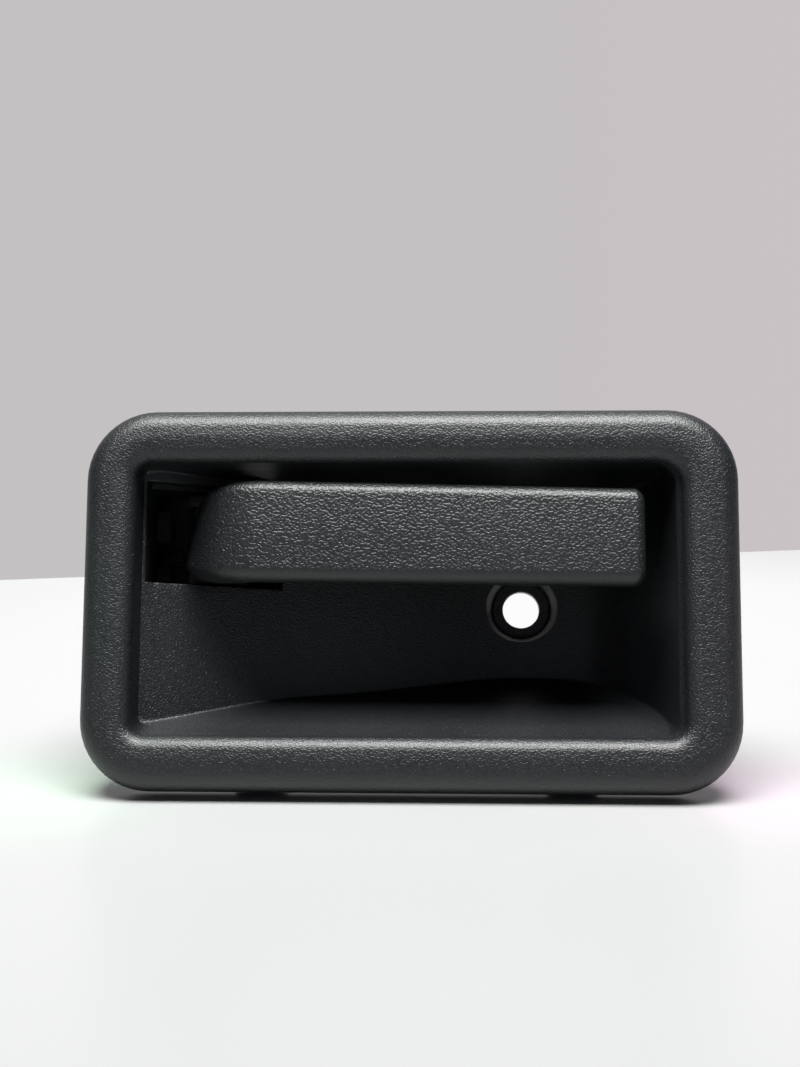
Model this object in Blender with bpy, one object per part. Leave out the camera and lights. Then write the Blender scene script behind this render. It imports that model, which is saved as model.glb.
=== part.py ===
"""Interior car door handle: a moulded cup with its frame, a pull lever and the lever's mechanism.

X runs along the handle to the lever's free end, Y goes into the door and Z is up.
The origin is the centre of the frame's outline, on the plane where the frame meets the door panel.
Lengths are written in millimetres and turned into metres when a mesh is made.
"""
import math

import bpy
import bmesh
from mathutils import Matrix, Vector

MM = 0.001

# the frame round the cup
FRAME_HALF_WIDTH = 60.0
FRAME_HALF_HEIGHT = 35.0
FRAME_CORNER_RADIUS = 13.0
FRAME_FRONT_Y = -9.0
FRAME_OUTER_ROUNDING = 4.0
FRAME_LIP_THICKNESS = 2.5
CHANNEL_FLOOR_Y = -6.0

# the opening into the cup: left, right, bottom and top limits, and the rounding at its mouth
OPENING_LEFT = -50.4
OPENING_RIGHT = 49.5
OPENING_BOTTOM = -24.9
OPENING_TOP = 25.1
MOUTH_ROUNDING = 3.0
WALL = 2.5

# the cup's floor seen from above, as x and depth, from the left wall to the right wall
FLOOR = [
    (-50.4, 0.0), (-45.0, 3.0), (-39.8, 6.0), (-33.7, 9.4), (-27.5, 12.6), (-21.9, 14.8),
    (-16.5, 16.0), (-11.0, 17.2), (-2.7, 19.6), (5.0, 22.4), (13.0, 25.0), (20.4, 26.3),
    (27.9, 25.6), (34.3, 23.2), (38.3, 19.6), (41.4, 15.4), (44.2, 11.2), (45.9, 7.6),
    (47.4, 2.0), (48.6, -5.3),
]
BOTTOM_WALL_AT_0 = -22.8
BOTTOM_WALL_SLOPE = 0.377
TOP_WALL_AT_0 = 25.3
TOP_WALL_SLOPE = -0.10

# the slot in the ramp that the lever passes through
SLOT_LEFT, SLOT_RIGHT = -49.8, -25.5
SLOT_BOTTOM, SLOT_TOP = 3.7, 22.9

# the fixing screw's counterbored hole
SCREW_X, SCREW_Z = 21.3, 1.1
SCREW_HOLE_RADIUS = 3.7
SCREW_SEAT_RADIUS = 5.7
SCREW_MOUTH_RADIUS = 6.8
SCREW_SEAT_Y = 30.2
BOSS_RADIUS = 9.3
BOSS_REAR_Y = 33.2

# the lever's upright hinge axis
PIVOT_X, PIVOT_Y = -39.0, 15.0
PIN_RADIUS = 2.0
BUSH_OUTER, BUSH_INNER = 3.0, 2.3
KNUCKLE_RADIUS = 5.5
EAR_LOWER = (-0.5, 3.0)
EAR_UPPER = (22.1, 27.0)
PIVOT_BOX_RIGHT = -22.5
LOWER_WASHER = (3.3, 3.9)
LOWER_KNUCKLE = (4.2, 8.0)
SPRING_POCKET = (8.3, 14.7)
UPPER_KNUCKLE = (15.0, 18.6)
CRANK = (18.9, 20.9)
UPPER_WASHER = (21.2, 21.8)

# the lever's grip: a bar that bends back into the slot at its left end
GRIP_RIGHT = 43.0
GRIP_FRONT_Y = -7.0
GRIP_THICKNESS = 8.0
BEND_CENTRE = (-27.4, 8.0)
BEND_OUTER_RADIUS = 15.0
BEND_ANGLE = 80.0
COVER_THICKNESS = 3.2

# the crank and its rod clip
ROD_HOLE_Y = 30.0
CRANK_SCREWS = ((-41.3, 9.6), (-35.7, 9.6))
CRANK_WINDOW_X = (-43.9, -29.0)

# the screws that hold the lever's cast root to its carrier
ROOT_SCREW_X = -20.0
ROOT_SCREW_Z = (8.8, 14.6)

# the torsion spring
SPRING_RADIUS = 4.2
SPRING_WIRE = 0.5
SPRING_TURNS = 4.25
SPRING_LOW, SPRING_HIGH = 8.9, 14.1

PANEL_CLIP_X = (-28.0, 30.0)


def clear_scene():
    for item in list(bpy.data.objects):
        bpy.data.objects.remove(item, do_unlink=True)


def material(name, colour, roughness, metallic=0.0):
    made = bpy.data.materials.new(name)
    made.use_nodes = True
    shader = made.node_tree.nodes["Principled BSDF"]
    shader.inputs["Base Color"].default_value = (*colour, 1.0)
    shader.inputs["Roughness"].default_value = roughness
    shader.inputs["Metallic"].default_value = metallic
    return made


def mesh_object(name, points, faces):
    """An object from points in millimetres, with every face turned outward."""
    mesh = bpy.data.meshes.new(name)
    mesh.from_pydata([tuple(c * MM for c in p) for p in points], [], faces)
    work = bmesh.new()
    work.from_mesh(mesh)
    bmesh.ops.recalc_face_normals(work, faces=work.faces)
    work.to_mesh(mesh)
    work.free()
    made = bpy.data.objects.new(name, mesh)
    bpy.context.scene.collection.objects.link(made)
    return made


def loft(name, rings):
    """A closed solid through rings that have the same number of points."""
    count = len(rings[0])
    points = [p for ring in rings for p in ring]
    faces = [list(range(count)), list(range((len(rings) - 1) * count, len(rings) * count))]
    for r in range(len(rings) - 1):
        for i in range(count):
            j = (i + 1) % count
            faces.append([r * count + i, r * count + j, (r + 1) * count + j, (r + 1) * count + i])
    return mesh_object(name, points, faces)


def hoop(name, rings):
    """A closed ring of material: the rings follow each other round and the last meets the first."""
    count = len(rings[0])
    points = [p for ring in rings for p in ring]
    faces = []
    for r in range(len(rings)):
        s = (r + 1) % len(rings)
        for i in range(count):
            j = (i + 1) % count
            faces.append([r * count + i, r * count + j, s * count + j, s * count + i])
    return mesh_object(name, points, faces)


def place(axis, u, v, w):
    """A point with w along the axis and u, v across it."""
    return {"X": (w, u, v), "Y": (u, w, v), "Z": (u, v, w)}[axis]


def prism(name, outline, axis, low, high):
    return loft(name, [[place(axis, u, v, w) for u, v in outline] for w in (low, high)])


def box(name, x, y, z):
    return prism(name, [(x[0], y[0]), (x[1], y[0]), (x[1], y[1]), (x[0], y[1])], "Z", *z)


def circle(cu, cv, radius, count=32):
    return [
        (cu + radius * math.cos(2 * math.pi * i / count), cv + radius * math.sin(2 * math.pi * i / count))
        for i in range(count)
    ]


def turned(name, axis, centre, profile, count=32):
    """A solid turned about an axis, from (position along the axis, radius) pairs."""
    rings = [[place(axis, u, v, w) for u, v in circle(*centre, radius, count)] for w, radius in profile]
    return loft(name, rings)


def tube(name, axis, centre, inner, outer, low, high, count=32):
    rings = []
    for w, radius in ((low, inner), (low, outer), (high, outer), (high, inner)):
        rings.append([place(axis, u, v, w) for u, v in circle(*centre, radius, count)])
    return hoop(name, rings)


def combine(target, tool, operation):
    """Joins the tool to the target or cuts it away, and removes the tool."""
    modifier = target.modifiers.new("combine", "BOOLEAN")
    modifier.operation = operation
    modifier.solver = "EXACT"
    modifier.object = tool
    graph = bpy.context.evaluated_depsgraph_get()
    mesh = bpy.data.meshes.new_from_object(target.evaluated_get(graph))
    target.modifiers.clear()
    target.data = mesh
    bpy.data.objects.remove(tool, do_unlink=True)


def join(target, tool):
    combine(target, tool, "UNION")


def cut(target, tool):
    combine(target, tool, "DIFFERENCE")


def finish(made, stuff, origin=(0.0, 0.0, 0.0), smooth_below=32.0):
    """Cleans the mesh, sets the origin in millimetres, and gives the material and the shading."""
    work = bmesh.new()
    work.from_mesh(made.data)
    bmesh.ops.remove_doubles(work, verts=work.verts, dist=0.00001)
    bmesh.ops.dissolve_degenerate(work, edges=work.edges, dist=0.00001)
    bmesh.ops.recalc_face_normals(work, faces=work.faces)
    work.to_mesh(made.data)
    work.free()
    shift = Vector(origin) * MM
    made.data.transform(Matrix.Translation(-shift))
    made.location = shift
    made.data.materials.clear()
    made.data.materials.append(stuff)
    made.data.polygons.foreach_set("use_smooth", [True] * len(made.data.polygons))
    made.data.set_sharp_from_angle(angle=math.radians(smooth_below))
    return made


def rounded_outline(left, right, bottom, top, radii, steps=9):
    """A rectangle with its own rounding at each corner: top right, top left, bottom left, bottom right."""
    corners = (
        (right, top, -1, -1, 0.0), (left, top, 1, -1, 90.0),
        (left, bottom, 1, 1, 180.0), (right, bottom, -1, 1, 270.0),
    )
    points = []
    for (x, z, sx, sz, start), radius in zip(corners, radii):
        for i in range(steps + 1):
            angle = math.radians(start + 90.0 * i / steps)
            points.append((
                x + sx * radius + radius * math.cos(angle),
                z + sz * radius + radius * math.sin(angle),
            ))
    return points


def frame_outline(inset):
    radius = max(FRAME_CORNER_RADIUS - inset, 1.0)
    return rounded_outline(
        -FRAME_HALF_WIDTH + inset, FRAME_HALF_WIDTH - inset,
        -FRAME_HALF_HEIGHT + inset, FRAME_HALF_HEIGHT - inset, [radius] * 4,
    )


def opening_outline(grow):
    return rounded_outline(
        OPENING_LEFT - grow, OPENING_RIGHT + grow, OPENING_BOTTOM - grow, OPENING_TOP + grow,
        [4.5 + grow, 2.6 + grow, 2.6 + grow, 3.0 + grow],
    )


def offset_path(points, distance):
    """The same open path moved sideways by a distance, to its left as it is walked."""
    moved = []
    for i, (u, v) in enumerate(points):
        before = points[max(i - 1, 0)]
        after = points[min(i + 1, len(points) - 1)]
        du, dv = after[0] - before[0], after[1] - before[1]
        length = math.hypot(du, dv)
        moved.append((u - dv / length * distance, v + du / length * distance))
    return moved


def smoothed(points):
    """The open path with one more point between each pair, on a smooth curve through them all."""
    path = [points[0]]
    for i in range(len(points) - 1):
        a, b, c, d = points[max(i - 1, 0)], points[i], points[i + 1], points[min(i + 2, len(points) - 1)]
        path.append(tuple((9.0 * (b[k] + c[k]) - a[k] - d[k]) / 16.0 for k in (0, 1)))
        path.append(c)
    return path


def floor_outline(thickness):
    """What lies in front of the floor, or of the floor's rear face, seen from above."""
    path = smoothed(FLOOR)
    if thickness:
        path = offset_path(path, thickness)
    return [(-70.0, -12.0), (-70.0, path[0][1])] + path + [(70.0, path[-1][1]), (70.0, -12.0)]


def wall_outline(thickness):
    """What lies between the top and bottom walls, or their outer faces, seen from the side."""
    low = BOTTOM_WALL_AT_0 - thickness * math.hypot(1.0, BOTTOM_WALL_SLOPE)
    high = TOP_WALL_AT_0 + thickness * math.hypot(1.0, TOP_WALL_SLOPE)
    return [
        (-12.0, -40.0), (-5.6, -40.0), (-5.6, low - 5.6 * BOTTOM_WALL_SLOPE), (45.0, low + 45.0 * BOTTOM_WALL_SLOPE),
        (45.0, high + 45.0 * TOP_WALL_SLOPE), (-3.0, high - 3.0 * TOP_WALL_SLOPE), (-3.0, 40.0), (-12.0, 40.0),
    ]


def hollow_shape(name, thickness):
    """The cup's hollow, or with a wall's thickness added the outside of the cup."""
    if thickness:
        made = prism(name, opening_outline(thickness), "Y", -8.0, 44.0)
    else:
        rings = []
        for i in range(7):
            angle = math.radians(90.0 * i / 6)
            grow = MOUTH_ROUNDING * (1.0 - math.sin(angle))
            y = FRAME_FRONT_Y + MOUTH_ROUNDING * (1.0 - math.cos(angle))
            rings.append([(x, y, z) for x, z in opening_outline(grow)])
        front = [(x, FRAME_FRONT_Y - 1.0, z) for x, z in opening_outline(MOUTH_ROUNDING)]
        rear = [(x, 40.0, z) for x, z in opening_outline(0.0)]
        made = loft(name, [front] + rings + [rear])
    combine(made, prism("depth", floor_outline(thickness), "Z", -50.0, 50.0), "INTERSECT")
    combine(made, prism("height", wall_outline(thickness), "X", -75.0, 75.0), "INTERSECT")
    return made


def frame_shell():
    """The frame itself: a crowned band with a lip that turns back to the door panel."""
    section = [(0.0, 0.0)]
    for i in range(7):
        angle = math.radians(90.0 * i / 6)
        inset = FRAME_OUTER_ROUNDING * (1.0 - math.cos(angle))
        y = FRAME_FRONT_Y + FRAME_OUTER_ROUNDING * (1.0 - math.sin(angle))
        section.append((inset, y))
    section += [(8.9, FRAME_FRONT_Y), (8.9, CHANNEL_FLOOR_Y)]
    section += [(FRAME_LIP_THICKNESS, CHANNEL_FLOOR_Y), (FRAME_LIP_THICKNESS, 0.0)]
    return hoop("frame_shell", [[(x, y, z) for x, z in frame_outline(inset)] for inset, y in section])


def pivot_box(body):
    """The closed box behind the ramp that holds the pin and keeps light out of the slot."""
    for z in (EAR_LOWER, EAR_UPPER):
        join(body, box("ear", (-51.5, PIVOT_BOX_RIGHT), (2.0, 22.3), z))
    join(body, box("cheek", (-52.7, -50.2), (1.3, 22.5), (-0.4, 26.9)))
    join(body, box("box_side", (PIVOT_BOX_RIGHT - 1.6, PIVOT_BOX_RIGHT - 0.1), (12.0, 22.2), (-0.3, 26.8)))
    join(body, box("box_rear", (-51.0, PIVOT_BOX_RIGHT - 0.2), (20.7, 22.4), (-0.3, 26.8)))
    join(body, box("spring_stop", (-50.9, -46.5), (20.0, 21.4), (8.6, 12.0)))


def housing(plastic):
    """The cup and its frame, one moulding, with everything that is moulded on its rear."""
    body = frame_shell()
    body.name = "bezel_cup"
    join(body, hollow_shape("cup_outside", WALL))
    pivot_box(body)
    join(body, turned("boss", "Y", (SCREW_X, SCREW_Z), [(12.0, BOSS_RADIUS), (BOSS_REAR_Y, BOSS_RADIUS)]))
    for x, z in (((SCREW_X - 1.0, SCREW_X + 1.0), (-14.0, 22.0)), ((2.0, 40.0), (SCREW_Z - 1.0, SCREW_Z + 1.0))):
        join(body, box("rib", x, (16.0, 31.0), z))
    for x in PANEL_CLIP_X:
        for sign, root in ((1, 25.9), (-1, -19.0)):
            zs = sorted((sign * 29.4, sign * 31.0))
            join(body, box("tongue", (x - 4.0, x + 4.0), (4.2, 13.0), zs))
            zs = sorted((root, sign * 30.9))
            join(body, box("tongue_web", (x - 3.9, x + 3.9), (11.4, 12.9), zs))
    cut(body, hollow_shape("hollow", 0.0))
    ramp = [(SLOT_LEFT, -2.5), (SLOT_RIGHT, 11.5), (SLOT_RIGHT, 17.6), (SLOT_LEFT, 4.6)]
    cut(body, prism("slot", ramp, "Z", SLOT_BOTTOM, SLOT_TOP))
    cut(body, box("crank_window", CRANK_WINDOW_X, (20.0, 23.0), (CRANK[0] - 0.3, CRANK[1] + 0.3)))
    bore = [(18.0, SCREW_MOUTH_RADIUS + 0.6), (26.2, SCREW_MOUTH_RADIUS), (SCREW_SEAT_Y, SCREW_SEAT_RADIUS)]
    cut(body, turned("counterbore", "Y", (SCREW_X, SCREW_Z), bore, 40))
    hole = [(20.0, SCREW_HOLE_RADIUS), (40.0, SCREW_HOLE_RADIUS)]
    cut(body, turned("screw_hole", "Y", (SCREW_X, SCREW_Z), hole))
    for z in (EAR_LOWER, EAR_UPPER):
        bore = [(z[0] - 1.0, PIN_RADIUS + 0.3), (z[1] + 1.0, PIN_RADIUS + 0.3)]
        cut(body, turned("pin_bore", "Z", (PIVOT_X, PIVOT_Y), bore, 24))
    return finish(body, plastic)


def gasket(foam):
    """The foam ring in the frame's rear channel, standing 0.8 mm proud of the lip."""
    outer = frame_outline(FRAME_LIP_THICKNESS + 0.4)
    inner = opening_outline(WALL + 0.4)
    rings = []
    for y, outline in ((-5.6, inner), (-5.6, outer), (0.8, outer), (0.8, inner)):
        rings.append([(x, y, z) for x, z in outline])
    return finish(hoop("bezel_gasket", rings), foam)


def grip_station(x, turn):
    """Where the grip's middle line is, the way across it, and its middle height and half height."""
    middle = BEND_OUTER_RADIUS - GRIP_THICKNESS / 2
    if turn is None:
        height = 12.6 - 0.017 * (x + 27.0)
        return (x, GRIP_FRONT_Y + GRIP_THICKNESS / 2), (0.0, -1.0), height, 9.45 - 0.0065 * (x + 27.0), 0.0
    angle = math.radians(turn)
    out = (-math.sin(angle), -math.cos(angle))
    spine = (BEND_CENTRE[0] + out[0] * middle, BEND_CENTRE[1] + out[1] * middle)
    part = turn / BEND_ANGLE
    low, high = 3.15 + 2.2 * part ** 3, 22.05 - 0.3 * part - 2.45 * part ** 3
    return spine, out, (low + high) / 2, (high - low) / 2, part


def section_outline(front, back, half, front_radius, back_radius, steps):
    """The bar's section as distances out of the middle line and heights about the middle."""
    points = []
    corners = (
        (front, half, front_radius, 0.0), (back, half, back_radius, 90.0),
        (back, -half, back_radius, 180.0), (front, -half, front_radius, 270.0),
    )
    for out, height, radius, start in corners:
        for i in range(steps + 1):
            angle = math.radians(start + 90.0 * i / steps)
            co, ch = out - math.copysign(radius, out - (front + back) / 2), height - math.copysign(radius, height)
            points.append((co + radius * math.cos(angle), ch + radius * math.sin(angle)))
    return points


def bar(name, front, back, front_radius, back_radius, height_inset, corner_steps, bend_steps):
    """A strip of the grip between two distances from its middle line."""
    stations = []
    for back_off, shrink in ((0.0, 2.0), (0.25, 1.2), (0.8, 0.5), (1.6, 0.1), (2.4, 0.0)):
        stations.append((GRIP_RIGHT - back_off, None, shrink))
    for i in range(1, 9):
        stations.append((GRIP_RIGHT - 2.4 + (BEND_CENTRE[0] - GRIP_RIGHT + 2.4) * i / 8, None, 0.0))
    for i in range(1, bend_steps + 1):
        stations.append((None, BEND_ANGLE * i / bend_steps, 0.0))
    rings = []
    for x, turn, shrink in stations:
        spine, out, height, half, part = grip_station(x, turn)
        outline = section_outline(
            front - shrink, back + shrink, half - height_inset - shrink,
            max(front_radius - shrink * 0.5, 0.2), max(back_radius - shrink * 0.5, 0.2), corner_steps,
        )
        ring = []
        for u, v in outline:
            z = height + v
            lean = -0.2 * (12.0 - z) * part * part * (u / GRIP_THICKNESS + 0.5)
            ring.append((spine[0] + out[0] * u + lean, spine[1] + out[1] * u, z))
        rings.append(ring)
    return loft(name, rings)


def lever_cover(plastic):
    """The grained face of the lever, a thick cover that wraps its front, top and lower edges."""
    half = GRIP_THICKNESS / 2
    made = bar("lever_cover", half, half - COVER_THICKNESS, 2.5, 0.15, 0.0, 5, 12)
    return finish(made, plastic, (PIVOT_X, PIVOT_Y, 0.0))


def lever_carrier(plastic):
    """The lever's structural rear half, a straight bar behind the cover."""
    half = GRIP_THICKNESS / 2
    made = bar("lever_carrier", half - COVER_THICKNESS - 0.3, -half, 0.15, 2.0, 0.35, 3, 0)
    for z in ROOT_SCREW_Z:
        cut(made, turned("screw_bore", "Y", (ROOT_SCREW_X, z), [(-2.6, 1.7), (3.0, 1.7)], 12))
    return finish(made, plastic, (PIVOT_X, PIVOT_Y, 0.0))


def lever_root(zinc):
    """The cast root: it fills the bend, is screwed to the carrier and goes through the slot to the pin."""
    inner, outer = BEND_OUTER_RADIUS - GRIP_THICKNESS - 2.1, BEND_OUTER_RADIUS - GRIP_THICKNESS - 0.3
    elbow = BEND_OUTER_RADIUS - COVER_THICKNESS - 0.3
    centre_x, centre_y = BEND_CENTRE
    outline = [(-41.6, 6.5), (-43.5, 9.0), (-43.5, 15.0), (-33.5, 15.0), (-32.0, 10.5)]
    for i in range(9):
        angle = math.radians(80.0 - 80.0 * i / 8)
        outline.append((centre_x - inner * math.sin(angle), centre_y - inner * math.cos(angle)))
    outline += [(-16.5, centre_y - inner), (-16.5, centre_y - outer), (centre_x - 0.3, centre_y - outer)]
    for i in range(13):
        turn = 1.5 + 75.5 * i / 12
        radius = elbow - 0.9 * (turn / BEND_ANGLE) ** 2
        angle = math.radians(turn)
        outline.append((centre_x - radius * math.sin(angle), centre_y - radius * math.cos(angle)))
    outline.append((-38.4, 6.55))
    made = prism("lever_root", outline, "Z", LOWER_KNUCKLE[0], UPPER_KNUCKLE[1])
    cut(made, box("band_low", (-46.0, -10.0), (-6.0, 8.2), (3.0, 6.0)))
    cut(made, box("band_high", (-33.0, -10.0), (-6.0, 8.2), (17.0, 23.0)))
    barrel = [(LOWER_KNUCKLE[0] + 0.02, KNUCKLE_RADIUS), (UPPER_KNUCKLE[1] - 0.02, KNUCKLE_RADIUS)]
    join(made, turned("knuckle", "Z", (PIVOT_X, PIVOT_Y), barrel, 24))
    join(made, box("rest_tab", (-49.3, -42.0), (12.7, 15.4), (LOWER_KNUCKLE[0] + 0.05, LOWER_KNUCKLE[1] - 0.05)))
    pocket = [(SPRING_POCKET[0], 5.4), (SPRING_POCKET[1], 5.4)]
    cut(made, turned("pocket", "Z", (PIVOT_X, PIVOT_Y), pocket, 24))
    cut(made, box("pocket_back", (-46.0, -33.0), (PIVOT_Y, 22.0), SPRING_POCKET))
    cut(made, box("leg_slot", (-35.6, -34.0), (8.1, 15.5), (13.3, 14.75)))
    bore = [(LOWER_KNUCKLE[0] - 1.0, BUSH_OUTER + 0.3), (UPPER_KNUCKLE[1] + 1.0, BUSH_OUTER + 0.3)]
    cut(made, turned("bore", "Z", (PIVOT_X, PIVOT_Y), bore, 24))
    for x, y in CRANK_SCREWS:
        cut(made, turned("screw_bore", "Z", (x, y), [(15.3, 1.7), (20.0, 1.7)], 12))
    for z in ROOT_SCREW_Z:
        cut(made, turned("screw_bore", "Y", (ROOT_SCREW_X, z), [(0.0, 1.7), (6.0, 1.7)], 12))
    return finish(made, zinc, (PIVOT_X, PIVOT_Y, 0.0))


def root_screw(name, steel, z):
    """A pan head screw with a cross recess, from behind the lever."""
    profile = [(-2.2, 1.1), (-1.9, 1.4), (3.4, 1.4), (3.4, 2.7), (4.6, 2.5), (5.2, 1.7)]
    made = turned(name, "Y", (ROOT_SCREW_X, z), profile, 20)
    cut(made, box("recess_a", (ROOT_SCREW_X - 1.3, ROOT_SCREW_X + 1.3), (4.2, 7.0), (z - 0.3, z + 0.3)))
    cut(made, box("recess_b", (ROOT_SCREW_X - 0.3, ROOT_SCREW_X + 0.3), (4.2, 7.0), (z - 1.3, z + 1.3)))
    return finish(made, steel, (PIVOT_X, PIVOT_Y, 0.0))


def pivot_pin(steel):
    """The headed steel pin through both ears, with a groove for its clip."""
    profile = [
        (-3.2, 1.7), (-2.9, PIN_RADIUS), (-2.2, PIN_RADIUS), (-2.2, 1.5), (-1.0, 1.5), (-1.0, PIN_RADIUS),
        (27.3, PIN_RADIUS), (27.3, 3.4), (28.2, 3.4), (28.6, 3.0),
    ]
    return finish(turned("pivot_pin", "Z", (PIVOT_X, PIVOT_Y), profile, 24), steel)


def pin_clip(steel):
    """The open retaining clip in the pin's groove."""
    outline = []
    for i in range(25):
        angle = math.radians(-60.0 + 300.0 * i / 24)
        outline.append((PIVOT_X + 3.7 * math.cos(angle), PIVOT_Y + 3.7 * math.sin(angle)))
    for i in range(25):
        angle = math.radians(240.0 - 300.0 * i / 24)
        radius = 1.8 if i in (0, 1, 2, 11, 12, 13, 22, 23, 24) else 2.5
        outline.append((PIVOT_X + radius * math.cos(angle), PIVOT_Y + radius * math.sin(angle)))
    return finish(prism("pin_clip", outline, "Z", -1.9, -1.3), steel)


def ring_part(name, stuff, inner, outer, z, moves):
    made = tube(name, "Z", (PIVOT_X, PIVOT_Y), inner, outer, *z, 24)
    return finish(made, stuff, (PIVOT_X, PIVOT_Y, 0.0) if moves else (0.0, 0.0, 0.0))


def return_spring(steel):
    """The torsion spring round the pin: one leg on the housing, one in the lever's slot."""
    path = [(-48.6, PIVOT_Y + SPRING_RADIUS, SPRING_LOW), (-43.5, PIVOT_Y + SPRING_RADIUS, SPRING_LOW)]
    count = int(SPRING_TURNS * 20)
    for i in range(count + 1):
        angle = math.radians(90.0) - 2 * math.pi * SPRING_TURNS * i / count
        z = SPRING_LOW + (SPRING_HIGH - SPRING_LOW) * i / count
        path.append((PIVOT_X + SPRING_RADIUS * math.cos(angle), PIVOT_Y + SPRING_RADIUS * math.sin(angle), z))
    path.append((PIVOT_X + SPRING_RADIUS, 11.5, SPRING_HIGH))
    path.append((PIVOT_X + SPRING_RADIUS, 8.5, SPRING_HIGH))
    rings = []
    for i, point in enumerate(path):
        before, after = Vector(path[max(i - 1, 0)]), Vector(path[min(i + 1, len(path) - 1)])
        along = (after - before).normalized()
        side = along.cross(Vector((0.0, 0.0, 1.0))).normalized()
        up = side.cross(along)
        ring = []
        for j in range(8):
            angle = 2 * math.pi * j / 8
            spot = Vector(point) + (side * math.cos(angle) + up * math.sin(angle)) * SPRING_WIRE
            ring.append(tuple(spot))
        rings.append(ring)
    return finish(loft("return_spring", rings), steel, (PIVOT_X, PIVOT_Y, 0.0), 60.0)


def crank_arm(steel):
    """The stamped steel crank on top of the lever's root, with the hole for the lock rod's clip."""
    outline = [(-43.6, 7.2), (-42.6, 6.4), (-34.4, 6.4), (-33.4, 7.2), (-33.4, 14.0), (-34.6, 20.0)]
    for i in range(13):
        angle = math.radians(-8.0 + 196.0 * i / 12)
        outline.append((PIVOT_X + 4.5 * math.cos(angle), ROD_HOLE_Y + 4.5 * math.sin(angle)))
    outline += [(-43.4, 20.0), (-44.0, 14.0)]
    made = prism("crank_arm", outline, "Z", *CRANK)
    cut(made, turned("pin_hole", "Z", (PIVOT_X, PIVOT_Y), [(18.0, 2.3), (22.0, 2.3)], 24))
    cut(made, turned("clip_hole", "Z", (PIVOT_X, ROD_HOLE_Y), [(18.0, 2.5), (22.0, 2.5)], 24))
    for x, y in CRANK_SCREWS:
        cut(made, turned("sink", "Z", (x, y), [(18.0, 1.8), (19.6, 1.8), (20.7, 2.9), (22.0, 2.9)], 20))
    return finish(made, steel, (PIVOT_X, PIVOT_Y, 0.0))


def crank_screw(name, steel, x, y):
    """A countersunk screw with a cross recess."""
    profile = [(15.6, 1.1), (15.9, 1.4), (19.5, 1.4), (20.6, 2.5), (20.85, 2.5)]
    made = turned(name, "Z", (x, y), profile, 20)
    cut(made, box("recess_a", (x - 1.3, x + 1.3), (y - 0.3, y + 0.3), (19.9, 22.0)))
    cut(made, box("recess_b", (x - 0.3, x + 0.3), (y - 1.3, y + 1.3), (19.9, 22.0)))
    return finish(made, steel, (PIVOT_X, PIVOT_Y, 0.0))


def rod_clip(plastic):
    """The plastic clip that snaps into the crank and closes over the lock rod."""
    x, y = PIVOT_X, ROD_HOLE_Y
    profile = [(16.6, 2.1), (17.4, 2.9), (18.5, 2.9), (18.6, 2.2), (21.2, 2.2), (21.3, 3.9), (22.6, 3.9)]
    made = turned("rod_clip", "Z", (x, y), profile, 24)
    join(made, box("arm", (x - 11.0, x - 1.0), (y - 2.4, y + 2.4), (21.25, 22.55)))
    jaw = []
    for i in range(15):
        angle = math.radians(-230.0 + 280.0 * i / 14)
        jaw.append((y + 3.0 * math.cos(angle), 25.0 + 3.0 * math.sin(angle)))
    for i in range(15):
        angle = math.radians(50.0 - 280.0 * i / 14)
        jaw.append((y + 1.5 * math.cos(angle), 25.0 + 1.5 * math.sin(angle)))
    join(made, prism("jaw", jaw, "X", x - 10.9, x - 6.9))
    cut(made, turned("rod_bore", "Z", (x, y), [(16.0, 1.3), (24.0, 1.3)], 20))
    return finish(made, plastic, (x, y, 0.0))


def buffer(name, rubber, x, y, z):
    made = box(name, x, y, z)
    work = bmesh.new()
    work.from_mesh(made.data)
    bmesh.ops.bevel(work, geom=work.edges, offset=0.5 * MM, segments=2, affect="EDGES", profile=0.5)
    work.to_mesh(made.data)
    work.free()
    return finish(made, rubber)


def panel_clip(name, steel, x, side):
    """A spring steel clip pushed over a tongue, with a barb that snaps behind the door panel."""
    outer = [(11.0, 31.3), (3.6, 31.3), (3.6, 29.1), (11.0, 29.1)]
    strip = [(11.0, 31.9), (6.6, 31.9), (5.4, 33.6), (2.6, 32.6), (2.6, 31.9), (3.0, 31.5), (3.0, 28.5), (11.0, 28.5)]
    outline = [(y, side * z) for y, z in outer + list(reversed(strip))]
    return finish(prism(name, outline, "X", x - 4.5, x + 4.5), steel, (0.0, 0.0, 0.0), 20.0)


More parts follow.
